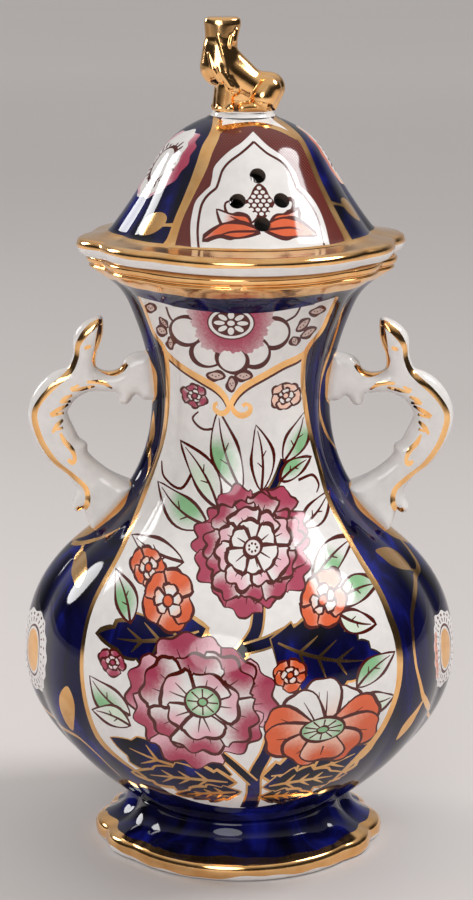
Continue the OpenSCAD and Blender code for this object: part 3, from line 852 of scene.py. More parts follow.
spray = {
    "stems": [
        [(3, 28, 4.6), (4.6, 36, 4.2), (5, 46, 4.0), (9, 56, 3.6), (11, 66, 3.0)],
        [(4.6, 42, 2.6), (-2, 50, 2.4), (-8, 56, 2.0)],
        [(-6, 84, 3.8), (1, 92, 3.8), (5, 98, 3.6), (6, 106, 3.4)],
        [(1, 92, 2.6), (9, 94, 3.0), (17, 97, 2.8), (26, 97, 2.0)],
        [(-8, 86, 2.8), (-13, 96, 3.0), (-22, 103, 2.4)],
        [(8, 134, 2.2), (12.4, 141, 2.0), (15, 147.6, 1.4)],
    ],
    "blueLeaves": [
        ((-3, 46), (-45, 55), 21, 2.0, 6),
        ((-2, 42), (-37, 40.5), 13, -1.5, 5),
        ((0, 37.4), (-22, 33.4), 7.5, -0.6, 4),
        ((8, 45), (46, 52), 19, -2.0, 6),
        ((8, 39.6), (37, 40.4), 12, 1.4, 5),
        ((7, 34.4), (25, 33.4), 6.5, 0.4, 4),
        ((10, 95), (49, 84), 23, -2.5, 7),
        ((-12, 98), (-49, 91), 17, 2.0, 6),
    ],
    "leaves": [
        ((-38, 97), (-43.5, 110), 7, -1.2, "green", "white", False),
        ((-38, 66), (-52, 76), 9, 1.6, "green", "white", False),
        ((-38, 62), (-51, 64), 7, -1.2, "mint", "white", True),
        ((40, 76), (53, 84), 7.5, 1.2, "green", "white", False),
        ((41, 70), (53, 69), 7, -1.0, "mint", "white", True),
        ((25, 111), (39, 119), 8, 1.4, "green", "white", True),
        ((33, 104), (47, 106), 7.5, 1.2, "green", "white", False),
        ((34, 100), (46, 95), 6, -0.8, "mint", "white", True),
        ((21, 126), (31, 134), 6.6, -1.2, "white", "white", True),
        ((-12, 127), (-29, 137), 9, 1.8, "green", "white", True),
        ((-8, 133), (-21, 152), 8.4, -1.6, "mint", "white", False),
        ((0, 138), (-8, 165), 9, 1.8, "green", "white", False),
        ((7, 138), (5, 160), 7, -1.4, "white", "white", True),
        ((15, 147), (22, 162), 7.4, -1.4, "green", "white", True),
        ((14, 141), (24, 146), 5.6, 0.8, "green", "white", False),
        ((-20, 116), (-38, 120), 7, 0.8, "white", "white", False),
    ],
    "upperFlower": (4, 121),
    "upperWhorls": [
        {"petals": 12, "start": 9, "end": 20.4, "spread": 19, "turn": 12, "waves": 2, "ink": "rose",
         "wash": "blush", "root": 1.0, "reach": 0.6, "line": 0.42, "veins": (0.4,)},
        {"petals": 11, "start": 7, "end": 16.8, "spread": 20, "turn": 30, "waves": 2, "ink": "rose",
         "wash": "white", "root": 1.02, "reach": 0.45, "line": 0.6, "veins": (-0.8, 1.0)},
        {"petals": 8, "start": 4, "end": 12.6, "spread": 26, "turn": 8, "waves": 2, "ink": "blush",
         "wash": "white", "root": 1.02, "reach": 0.5, "line": 0.76, "veins": (-1.0, 0.8)},
        {"petals": 6, "start": 1.5, "end": 8.4, "spread": 31, "turn": 25, "waves": 1, "ink": "white",
         "wash": "blush", "root": 0.9, "reach": 1.2, "line": 0.8, "veins": (0.0,)},
    ],
    "bigFlower": (-14, 73),
    "bigWhorls": [
        {"petals": 7, "start": 8, "end": 25, "spread": 33, "turn": 20, "waves": 3, "ink": "rose",
         "wash": "blush", "root": 1.02, "reach": 0.5, "line": 0.5, "veins": (-3.0, 2.6)},
        {"petals": 6, "start": 6, "end": 19.4, "spread": 36, "turn": 52, "waves": 3, "ink": "rose",
         "wash": "white", "root": 1.04, "reach": 0.62, "line": 0.72, "veins": (-2.4, 2.6)},
        {"petals": 5, "start": 4, "end": 12.8, "spread": 40, "turn": 15, "waves": 2, "ink": "blush",
         "wash": "white", "root": 1.04, "reach": 0.6, "line": 0.8, "veins": (-1.6, 1.6)},
    ],
    "cup": (28, 62),
    "cupBack": [(58, 19, 12, "white", "white"), (90, 21, 12, "white", "peach"),
                (122, 19, 12, "white", "white"), (26, 21, 12, "coral", "peach"),
                (156, 21, 12, "coral", "peach")],
    "cupFront": [(-8, 20, 12), (188, 20, 12), (-44, 15, 13), (-136, 15, 13), (-90, 12, 15)],
    "blossoms": [(-32, 113, 5.6, "coral", "peach"), (-25, 105, 9.0, "coral", "peach"),
                 (28, 105, 8.2, "coral", "peach"), (-44, 83, 4.4, "rose", "blush"),
                 (-16.4, 169.4, 4.2, "rose", "white"), (15.4, 169.8, 5.0, "peach", "white"),
                 (16.6, 83, 5.4, "coral", "peach")],
    "tendrils": [[(-17, 143, 1.0), (-21, 137, 0.9), (-27, 139, 0.8), (-28, 144, 0.5)],
                 [(20, 140, 1.0), (25, 140.4, 0.9), (27.4, 137, 0.7), (26.6, 134.6, 0.5)],
                 [(-6, 160, 0.9), (-13, 158, 0.9), (-17, 161, 0.8), (-15, 164, 0.5)]],
}


def drawBlossom(canvas, x, z, size, ink, wash):
    turn = 18 + 7 * x
    outer = {"petals": 5, "start": 0.15 * size, "end": size, "spread": 38, "turn": turn, "waves": 1,
             "ink": ink, "wash": wash, "root": 0.9, "reach": 0.8, "line": 0.36 + 0.03 * size, "veins": ()}
    inner = dict(outer, start=0.1 * size, end=0.52 * size, spread=30, turn=turn + 30, ink="white", root=0.3,
                 line=0.3 + 0.03 * size)
    for ring in (outer, inner):
        drawPetals(canvas, x, z, ring, 0.96, 0)
    outlined(canvas, oval(x, z, 0.16 * size, count=12), ink, line=0.5)


def drawCup(canvas, x, z):  # an open coral flower, seen from the side
    for angle, end, width, ink, wash in spray["cupBack"]:
        shape = moved(petal(2.0, end, width, 0.6), angle, x, z - 2)
        tip = moved([(end, 0)], angle, x, z - 2)[0]
        outlined(canvas, shape, ink, wash, tip, end * 0.85, 0.75, angle)
        for side in (-1.2, 1.2):
            rib = moved([(5.0, side * 0.5), (end * 0.5, side), (end * 0.78, side * 1.2)], angle, x, z - 2)
            brush(canvas, [(*rib[0], 0.7), (*rib[1], 0.55), (*rib[2], 0.2)], steps=2)
    for angle, end, width in spray["cupFront"]:
        shape = moved(petal(1.0, end, width, 1.0), angle, x, z)
        tip = moved([(end, 0)], angle, x, z)[0]
        outlined(canvas, shape, "coral", "peach", tip, end * 0.8, 0.75, angle)
        rib = moved([(6.0, 0.4), (end * 0.8, -0.6)], angle, x, z)
        brush(canvas, [(*rib[0], 0.7), (*rib[1], 0.25)], steps=2)
    drawHeart(canvas, x, z + 0.6, 7.2, 4.0, 10, 0)


def drawSpray(canvas):  # a spray of garden flowers, laid out for this panel
    for stem in spray["stems"]:
        blueStem(canvas, stem)
    for line in spray["tendrils"]:
        brush(canvas, line)
    for base, tip, width, bend, teeth in spray["blueLeaves"]:
        blueLeaf(canvas, base, tip, width, bend, teeth)
    for base, tip, width, bend, ink, wash, flip in spray["leaves"]:
        leaf(canvas, base, tip, width, bend, ink, wash, flip)
    for blossom in spray["blossoms"]:
        drawBlossom(canvas, *blossom)
    x, z = spray["upperFlower"]
    for ring in spray["upperWhorls"]:
        drawPetals(canvas, x, z, ring, 0.9, 12)
    outlined(canvas, oval(x, z, 2.5, 2.2, 18), "white", "blush", (x, z), 4.0, 0.8)
    for k in range(7):
        a = 2 * math.pi * k / 7
        fill(canvas, oval(x + 1.4 * math.cos(a), z + 1.2 * math.sin(a), 0.4, count=8), "brown")
    x, z = spray["bigFlower"]
    for ring in spray["bigWhorls"]:
        drawPetals(canvas, x, z, ring, 0.92, -14)
    drawHeart(canvas, x + 1.0, z + 1.0, 5.6, 4.8, 8, -14)
    drawCup(canvas, *spray["cup"])


flank = {  # millimetres round from the middle of a side, positive towards the back of the right side
    "rightVine": [(-4, 114, 0.9), (-8, 108.6, 1.4), (-12.3, 104.3, 1.7), (-21, 102.2, 1.8),
                  (-30.6, 99.3, 1.8), (-37, 96.4, 1.7), (-42.4, 92.5, 1.5), (-46.3, 85.4, 1.4),
                  (-47.4, 79.8, 1.4), (-46.7, 74.4, 1.5), (-42.8, 65.9, 2.0), (-38.4, 62, 2.4),
                  (-33.4, 58.7, 2.4), (-22, 53, 1.4), (-12, 48, 0.9)],
    "rightStalk": [(-15, 103.4, 1.0), (-18.4, 105, 1.2)],
    "rightLeaves": [
        [(-17.6, 104.8), (-15.5, 108.9), (-16.3, 112.1), (-22.3, 113.9), (-28.6, 114.2), (-29.7, 111.9),
         (-29.5, 109), (-25.7, 106.8), (-20, 105.2)],
        [(-40.6, 63), (-44.6, 60.2), (-47.6, 57.6), (-49, 54.4), (-46.8, 49.3), (-43, 53.3), (-42.2, 57.9)],
    ],
    "leftGarland": [(2.8, 110.7, 1.4), (8, 111.6, 1.7), (12.5, 113.3, 1.8), (15.7, 115.2, 1.7),
                    (19.7, 117.7, 1.5), (22.3, 120.5, 0.9)],
    "leftStalk": [(11, 112.4, 0.9), (14.8, 110, 1.1)],
    "leftLeaves": [
        [(13.8, 110.2), (19, 110.6), (27.2, 109.2), (33.5, 106.3), (36, 102.2), (28.4, 103.5),
         (19.7, 105.4), (14.4, 108.4)],
        [(49.8, 69.6), (52.6, 64.9), (50.2, 58.8), (43.2, 51.6), (40.7, 54.2), (41.8, 60.8), (45, 66.2)],
    ],
    "leftVine": [(4, 55, 0.9), (12, 51, 1.2), (21, 49.6, 1.4), (29.5, 49.5, 1.6), (40.4, 49.7, 1.6),
                 (45.2, 48.3, 1.5), (47.5, 43, 1.4), (46, 35, 0.9)],
    "neckVine": [(14.5, 131, 0.8), (9.5, 139, 1.2), (5.4, 146, 1.3), (4.0, 150, 1.0)],
    "neckLeaves": [((5.4, 146), (3.4, 159.5), 3.6, 0.4), ((7.4, 142.5), (2.2, 148.5), 2.0, 0.3)],
    "sideLine": [(-12.6, 202, 0.8), (-8.6, 192, 1.1), (-7.4, 182, 1.3), (-8.8, 170, 1.3),
                 (-8.4, 160, 1.2), (-5.4, 150, 1.2), (-1.5, 145.5, 0.9)],
    "upperRoot": (171.2, 6.2, 10.4),
    "lowerRoot": (122.2, 9.8, 11.4),
    "leftMedallion": (15, 73.8, 18, 14.6),
    "rightMedallion": (-16, 75.2, 16, 13.6),
}


def drawLeafGold(canvas, base, tip, width, bend):
    middle, left, right = leafSides(base, tip, width, bend)
    gild(canvas, np.concatenate([left, right[-2:0:-1]]))


def drawFlanks(right, left):
    for name in ("rightVine", "rightStalk", "sideLine"):
        gild(right, stroke(flank[name], 6))
    for name in ("leftGarland", "leftStalk", "leftVine", "neckVine"):
        gild(left, stroke(flank[name], 6))
    for shape in flank["rightLeaves"]:
        gild(right, spline(shape, True, 4))
    for shape in flank["leftLeaves"]:
        gild(left, spline(shape, True, 4))
    for row in flank["neckLeaves"]:
        drawLeafGold(left, *row)


def wobblyOval(z, wide, high, count, depth, waves):
    a = np.linspace(0, 2 * np.pi, count, endpoint=False)
    grow = 1 + depth * np.sin(waves * a) + 0.5 * depth * np.sin(3 * a + 1)
    return np.stack([wide * grow * np.cos(a), z + high * grow * np.sin(a)], -1)


def drawSide(canvas, name, coral):  # a lace medallion on the swell, and gilding round the roots of the handle
    x, z, wide, high = flank[name]
    fill(canvas, wobblyOval(z, wide, high, 72, 0.035, 14) + [x, 0], "white")
    if coral:
        rim = wobblyOval(z, wide * 0.98, high * 0.96, 72, 0.03, 14)
        part = rim[(np.abs(rim[:, 1] - z) < high * 0.66) & (rim[:, 0] < 0)]
        part = part[np.argsort(part[:, 1])]
        inner = part[::-1] * [0.72, 1.0]
        fill(canvas, np.concatenate([part, inner]) + [x, 0], "coral", "peach", (x, z), wide * 1.4)
    rays = 26
    for k in range(rays):
        angle = 2 * math.pi * (k + 0.4) / rays
        c, s = math.cos(angle), math.sin(angle)
        brush(canvas, [(x + wide * 0.5 * c, z + high * 0.72 * s, 0.5),
                       (x + wide * 0.66 * c, z + high * 0.82 * s, 0.8)], steps=2)
        fill(canvas, oval(x + wide * 0.82 * c, z + high * 0.9 * s, 0.7, 0.55, 8), "brown")
    outlined(canvas, oval(x, z, wide * 0.36, high * 0.6, 36), "white", line=0.7)
    gild(canvas, oval(x, z, wide * 0.31, high * 0.54, 34))
    for key in ("upperRoot", "lowerRoot"):
        z, wide, high = flank[key]
        gild(canvas, wobblyOval(z, wide, high, 60, 0.04, 7))


rimTop = vaseSkin["ends"][2] + vase["goldTo"]
vaseMarks = [bandMark(wavyBand(vaseSkin, rimTop, vaseSkin["ends"][-1], 0), "enamel")]
for turn in (0, 180):
    front = newCanvas(pinFlat(vaseSkin, turn), vaseMarks)
    drawPanel(front)
    drawSpray(front)
    drawCollar(front)
    drawBorders(front)
    drawFlanks(newCanvas(pinRound(vaseSkin, turn + 90), vaseMarks),
               newCanvas(pinRound(vaseSkin, turn - 90), vaseMarks))
for middle, medallion, coral in ((-90, "leftMedallion", False), (90, "rightMedallion", True),
                                 (270, "leftMedallion", False)):
    drawSide(newCanvas(pinRound(vaseSkin, middle), vaseMarks), medallion, coral)
rimGold = wavyBand(vaseSkin, upAt(vaseSkin, vase["goldFrom"]), rimTop, 0.9, 0.7, (True, False))
vaseMarks.append(bandMark(rimGold, "gold"))
vaseBody = buildSkin("vaseBody", vaseSkin, vaseMarks, "cobalt")
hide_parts("belly", "neck", "collar")
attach(vaseBody, "vase")


# foot

foot = {
    "profile": [[7, 50, -2.2], [18, 40.4, -0.1]],
    "edge": [[0.6, 52, 2.7], [1.8, 52.5, 2.7], [3.4, 52.6, 2.7], [5, 52.4, 2.7], [6.2, 51.6, 2.7],
             [7, 50, 2.7]],
    "hollow": [[9, 0, 0], [9, 34.4, 0], [0, 42.6, 0], [0, 51.0, 2.7]],
    "creases": ([7, 18], [2.7, 3.2]),  # their depth from the edge to the waist
    "gold": (1.6, 7.6),
}
upward = np.arange(7.6, 18.01, 0.6)
footSkin = makeSkin([
    (foot["hollow"], 6),
    (spline(foot["edge"], False, 3), 0.8),
    (np.stack([upward, reach(foot["profile"], upward), np.interp(upward, *foot["creases"])], -1), 1.2),
    ([[18, 0, 0]], 13),
], 0.85)
outsideOf(footSkin, footSkin["ends"][0], footSkin["ends"][2])
low, high = (upAt(footSkin, z) for z in foot["gold"])
footMarks = [
    bandMark(wavyBand(footSkin, 0, low + 2.0, 0), "enamel"),
    bandMark(wavyBand(footSkin, low, high, 1.3, 0.4), "gold"),
]
footRing = buildSkin("footRing", footSkin, footMarks, "cobalt")
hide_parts("foot")
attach(footRing, "vase")


# lid

lid = {
    "turn": 9,
    "dome": [[224.55, 47.2, -0.8], [248.05, 31.3, -0.6], [264.55, 10.6, -2.7]],
    "domeTop": 264.55,
    "domeHeight": 40,
    "domeCrease": 2.4,  # at the foot of the dome
    "wall": 4.5,
    "ceiling": 259.5,
    "ring": [[220, 36.8, 0], [207.8, 36.8, 0], [207.2, 37.4, 0], [207.2, 40.2, 0], [207.8, 40.8, 0],
             [216.15, 40.8, 0]],
    "edge": [[216.5, 57, 4.6], [218.15, 58.2, 4.6], [219.4, 58.6, 4.6], [220.55, 58.7, 4.6],
             [221.8, 58.1, 4.6], [222.5, 56.8, 4.6]],
    "cove": [[222.5, 56.8, 4.6], [222.9, 53.6, 4.2], [223.4, 50.6, 3.6], [223.9, 48.6, 2.9],
             [224.55, 47.2, 2.4]],
    "plinth": [[263.5, 13.1, 0.1], [264.2, 11.8, 0], [265.2, 10.9, 0], [266.15, 10.6, 0]],
    "plinthFrom": 264.5,  # white above this
    "goldFrom": 219.4,
    "goldTo": 224.4,
    "vent": 2.8,
    "ventHeight": 239.55,
    "ventSpread": 7.6,
}


def domeCrease(z):
    return lid["domeCrease"] * (lid["domeTop"] - z) / lid["domeHeight"]


upward = np.arange(225.3, 263.1, 0.8)
downward = np.arange(258.9, 225.5, -1.5)
insideLid = innerWall(lid["dome"], downward, lid["wall"])
lidSkin = makeSkin([
    ([[lid["ceiling"], 0, 0], [lid["ceiling"], insideLid[0] - 1.2, 0]], 6),
    (np.stack([downward, insideLid, domeCrease(downward)], -1), 3),
    (lid["ring"], 4),
    ([[216.15, 55.2, 4.6]], 5),
    (spline(lid["edge"], False, 4), 0.8),
    (spline(lid["cove"], False, 4)[1:], 0.9),
    (np.stack([upward, reach(lid["dome"], upward), domeCrease(upward)], -1), 1.6),
    (spline(lid["plinth"], False, 3), 0.7),
    ([[266.15, 0, 0]], 5),
], 0.8, lid["turn"])
outsideOf(lidSkin, lidSkin["ends"][3], lidSkin["ends"][7])
insideKeep = (lidSkin["along"] > lidSkin["ends"][0] + 0.1) & (lidSkin["along"] <= lidSkin["ends"][1])
insideRun = [lidSkin[key][insideKeep][::-1] for key in ("z", "r", "crease", "along")]
outsideRun = [lidSkin[key] for key in ("outZ", "outR", "outCrease", "outV")]


def pierce(middle, run, low, high):  # a round hole's edge where it meets one face of the dome
    count = 32
    bearing = np.linspace(0, 2 * np.pi, count, endpoint=False)[:, None]
    ring = middle + lid["vent"] * (np.cos(bearing) * [1, 0, 0] + np.sin(bearing) * ventUp)
    near, far = np.full(count, low), np.full(count, high)
    for step in range(40):
        half = (near + far) / 2
        p = ring + half[:, None] * ventAxis
        a = np.degrees(np.arctan2(p[:, 0], -p[:, 1]))
        r = np.interp(p[:, 2], run[0], run[1]) - np.interp(p[:, 2], run[0], run[2]) * lobe(a, p[:, 2])
        outside = np.hypot(p[:, 0], p[:, 1]) > r
        far = np.where(outside, half, far)
        near = np.where(outside, near, half)
    return np.stack([a * lidSkin["perDegree"], np.interp(p[:, 2], run[0], run[3])], -1)


ventSlope = (reach(lid["dome"], lid["ventHeight"] + 0.1) - reach(lid["dome"], lid["ventHeight"] - 0.1)) / 0.2
ventAxis = np.array([0, -1, -ventSlope]) / math.hypot(1, ventSlope)
ventUp = np.array([0, ventAxis[2], -ventAxis[1]])
ventHoles = []
ventTubes = []
for dx, dz in ((0, 1), (0, -1), (1, 0), (-1, 0)):
    z = lid["ventHeight"] + lid["ventSpread"] * dz
    middle = np.array([lid["ventSpread"] * dx, -reach(lid["dome"], z), z])
    outer = pierce(middle, outsideRun, -4, 12)
    inner = pierce(middle, insideRun, -12, 3)
    for turn in (0, 180):
        away = np.array([turn * lidSkin["perDegree"], 0])
        ventHoles += [outer + away, inner + away]
        ventTubes.append((outer + away, inner + away))

cartouche = {
    "left": [[(0.5, 260.8), (-4.3, 257.5), (-8.1, 255.3), (-11.7, 252.4), (-14.2, 249.5), (-15.1, 246.2),
              (-15.9, 243.6)],
             [(-15.9, 243.6), (-18.3, 241.4), (-20.9, 238.5), (-22.4, 234.7), (-23.5, 230.1), (-24, 223.8)]],
    "right": [[(0.5, 260.8), (4.3, 256.8), (8.2, 254), (11, 251.4), (13.8, 247.4), (15, 243.3)],
              [(15, 243.3), (18.8, 239.6), (21.6, 235), (23.2, 229.6), (23.8, 223.8)]],
    "lineLeft": [[(0, 257.8), (-4.8, 254.4), (-9, 251.6), (-11.6, 248.7), (-13.2, 244.9), (-14.1, 243)],
                 [(-14.1, 243), (-17, 240.6), (-19.1, 237.7), (-20.5, 233.5), (-21.4, 229), (-21.7, 223.8)]],
    "lineRight": [[(0, 257.8), (3.9, 254.3), (8.8, 251.4), (11.2, 248.6), (12.7, 245), (13.4, 242.6)],
                  [(13.4, 242.6), (16.6, 239.4), (19.2, 235.4), (20.8, 230.6), (21.6, 223.8)]],
    "ribLeft": [(-9.6, 264.3, 2.4), (-12.6, 259.4, 2.8), (-15.7, 255, 3.4), (-18, 249.8, 3.4),
                (-20.6, 244.4, 2.8), (-23.8, 238.2, 2.3), (-26.6, 232.8, 2.2), (-29.6, 226, 2.6),
                (-30.8, 223.6, 3.6)],
    "ribRight": [(9.8, 264.2, 1.6), (14.8, 260.6, 1.8), (18.2, 256.6, 1.9), (20.6, 250.6, 1.9),
                 (23, 243.8, 1.9), (26.9, 235, 2.0), (30.4, 227.6, 2.3), (32, 223.6, 3.2)],
    "arch": [(-13.6, 259.2, 1.8), (-10.1, 261.2, 1.5), (-6, 262.3, 1.3), (1.9, 262.9, 1.1),
             (9.5, 261.4, 1.2), (16.4, 258.2, 1.6)],
    "cone": [(0.2, 244.8), (-1.9, 243.2), (-3.2, 240.9), (-5, 238.6), (-3.6, 236.6), (-2.2, 235),
             (0.1, 233), (2.4, 235), (3.8, 236.6), (5, 238.6), (3.4, 240.9), (2.4, 243.2)],
    "whiteLeaves": [
        [(-10.8, 238.6), (-11.3, 236.3), (-9.6, 234.6), (-5.8, 234.4), (-4, 232.6), (-1.5, 234.8),
         (-3, 237.1), (-5.4, 238.4)],
        [(10.8, 238.7), (10.9, 236.8), (8.8, 235.2), (5, 234.9), (2, 232.6), (1.4, 234.2),
         (3.6, 237.1), (5.4, 238.2)],
    ],
    "coralLeaves": [  # upper edge, lower edge, where the enamel lies thickest
        ([(-4.1, 231.8), (-5.3, 234.1), (-9.6, 234.6), (-14.4, 236.1)],
         [(-12.8, 231.8), (-8.1, 231)], (-6.5, 232.6), 7.5),
        ([(3.6, 232.4), (5.4, 234.3), (9.4, 234.6), (13, 235.6)],
         [(12.4, 232.2), (8, 231.6)], (6.6, 232.8), 8.0),
        ([(-1.4, 229.8), (-3.7, 230.9), (-7.1, 231.8), (-12.4, 231.8), (-15.9, 229.9), (-19.6, 227)],
         [(-14.5, 228.7), (-8.4, 228)], (-10, 229.6), 17.0),
        ([(1.2, 230.2), (3, 232.2), (7.4, 233.4), (12, 232.4), (15.6, 230.4), (19, 227.8)],
         [(12.5, 228), (6.7, 228.2)], (9.6, 230.6), 17.0),
    ],
    "cap": [(11, 262.6), (8, 265.8), (0, 266), (-8, 265.8), (-11, 262.4)],
    "flanks": [  # side, middle and turn of the gilt oval, and its stalk
        (-90, (24.6, 230), 0, [(29.2, 230, 1.3), (31.4, 230.2, 1.0), (34.4, 230.5, 1.5)]),
        (90, (-18, 233), -25, [(-22.4, 234.8, 1.4), (-26, 235.8, 1.0), (-30, 236.8, 1.5)]),
    ],
    "rosettes": [(-90, 7.4, 248.6, "rose", "blush"), (270, 7.4, 248.6, "rose", "blush"),
                 (90, 2, 250, "coral", "peach")],
    "disc": (14.0, 11.6),
    "oval": (5.6, 5.4),
}


def drawLidFront(canvas):
    ribs = {}
    for side in ("Left", "Right"):
        ribs[side] = spline([p[:2] for p in cartouche["rib" + side]], False, 5)
    net = np.concatenate([ribs["Left"], ribs["Right"][::-1]])
    fill(canvas, net, "white", coat="net")
    top = spline([p[:2] for p in cartouche["arch"]], False, 5)
    fill(canvas, np.concatenate([top, cartouche["cap"]]), "white")
    halves = {}
    for side in ("left", "right"):
        halves[side] = np.concatenate([spline(part, False, 6) for part in cartouche[side]])
    fill(canvas, np.concatenate([halves["left"], halves["right"][::-1]]), "white")
    for side in ("Left", "Right"):
        for part in cartouche["line" + side]:
            brush(canvas, [(*p, 0.78) for p in part], steps=6)
    for side in ("Left", "Right"):
        gild(canvas, stroke(cartouche["rib" + side], 6))
    gild(canvas, stroke(cartouche["arch"], 5))
    for shape in cartouche["whiteLeaves"]:
        outlined(canvas, spline(shape, True, 4), "white", line=0.8)
    for upper, lower, heart, far in cartouche["coralLeaves"]:
        back = spline([upper[-1]] + lower + [upper[0]], False, 5)
        edge = np.concatenate([spline(upper, False, 5)[:-1], back[:-1]])
        outlined(canvas, edge, "coral", "white", heart, far, 0.8)
        fold = np.array(heart) * 0.5 + np.array(upper[-1]) * 0.5
        brush(canvas, [(*upper[0], 0.8), (*heart, 0.7), (*fold, 0.3)])
    cone = spline(cartouche["cone"], True, 3)
    fill(canvas, cone, "brown")
    for row in range(8):
        for k in range(-3, 4):
            x = (k + 0.5 * (row % 2)) * 2.2 + 0.1
            z = 243.3 - 1.36 * row
            if insideOutline(np.array([x]), np.array([z]), cone * [0.92, 1] + [0.01, 0])[0]:
                fill(canvas, oval(x, z, 0.8, 0.6, 10), "white")


def drawLidFlank(canvas, middle, turn, stalk):  # a gilt oval on its stalk, beside the rib
    x, z = middle
    gild(canvas, oval(x, z, 5.6, 3.9, 30, turn))
    gild(canvas, stroke(stalk, 4))


def drawRosette(canvas, x, z, ink, wash):  # a pale oval with rays, on a white disc tinged at its sides
    a = np.linspace(0, 2 * np.pi, 72, endpoint=False)
    wide, high = cartouche["disc"]
    grow = 1 + 0.035 * np.sin(13 * a)
    disc = np.stack([wide * grow * np.cos(a), high * grow * np.sin(a)], -1)
    fill(canvas, disc + [x, z], "white")
    for way in (-1, 1):
        edge = disc[way * np.cos(a) > 0.34]
        edge = edge[np.argsort(edge[:, 1])]
        inner = edge[::-1] * [0.66, 0.97]
        fill(canvas, np.concatenate([edge, inner]) + [x, z], ink, wash, (x + way * wide, z), (8.0, 16.0))
    wide, high = cartouche["oval"]
    rays = 24
    for k in range(rays):
        angle = 2 * math.pi * (k + 0.5) / rays
        c, s = math.cos(angle), math.sin(angle)
        far = 1.5 + 0.22 * math.sin(5 * k)
        brush(canvas, [(x + 1.2 * wide * c, z + 1.14 * high * s, 0.5),
                       (x + 1.36 * wide * c, z + 1.28 * high * s, 1.0),
                       (x + far * wide * c, z + far * 0.94 * high * s, 0.6)], steps=2)
    outlined(canvas, oval(x, z, wide, high, 30), "white", line=0.8)


lidMarks = [bandMark(wavyBand(lidSkin, 0, upAt(lidSkin, lid["goldFrom"]) + 0.6, 0), "enamel")]
for turn in (0, 180):
    drawLidFront(newCanvas(pinFlat(lidSkin, turn), lidMarks))
    for side, *drawing in cartouche["flanks"]:
        drawLidFlank(newCanvas(pinRound(lidSkin, turn + side), lidMarks), *drawing)
for middle, *drawing in cartouche["rosettes"]:
    drawRosette(newCanvas(pinRound(lidSkin, middle), lidMarks), *drawing)
lidGold = wavyBand(lidSkin, upAt(lidSkin, lid["goldFrom"]), upAt(lidSkin, lid["goldTo"]), 0.35, 1.1)
lidMarks.append(bandMark(lidGold, "gold"))
plinthBand = wavyBand(lidSkin, upAt(lidSkin, lid["plinthFrom"]), lidSkin["ends"][8], 0)
lidMarks.append(bandMark(plinthBand, "enamel"))
lidCover = buildSkin("lidCover", lidSkin, lidMarks, "cobalt", ventHoles, ventTubes)
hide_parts("lid")
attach(lidCover, "cover")


# handles: one flat scroll, pillowed to a round edge, drawn on both faces

handle = {
    "bow": [(26.3, 171.6, 18), (35.2, 171.6, 17.4), (38.2, 171.2, 15.4), (41, 170, 10.6),
            (44.4, 169.5, 8), (48.6, 169.4, 7.2), (55.3, 170, 9.2), (64.1, 166.8, 13.2), (69.1, 158, 14),
            (64.7, 146.5, 14.2), (58.2, 139, 10.8), (51.8, 131.4, 14.6), (45.4, 123.8, 22),
            (38.4, 117, 22)],
    "horn": [(57.3, 170, 12), (55.8, 179, 8.2), (54.8, 184.6, 10), (52.6, 188.6, 8), (50.4, 191.8, 3.4),
             (49.4, 192.8, 1.2)],
    "spur": [(40.4, 167, 6), (41.6, 162.6, 4.4), (41.8, 161, 2.2)],
    "tuck": [(61.4, 145.5, 6.8), (56.4, 145.6, 4), (54.8, 145.6, 2)],
    "curl": [(54, 130, 6.4), (57, 126, 5.6), (58.4, 123.8, 4.8), (57.8, 122, 2.8)],
    "thick": 5.0,
    "round": 4.3,
    "flare": 3.6,  # extra thickness where the lower end spreads on the vase
    "flareReach": 15,
    "flareTop": 150,
    "flareFade": 12,
    "inset": 2.2,
    "rings": (0.12, 0.4, 0.9, 1.6, 2.5, 3.4, 4.3),  # millimetres in from the edge
    "grid": 1.5,
    "gridInset": 4.4,
    "goldWeight": 1.1,
    "zigWeight": 1.2,
}
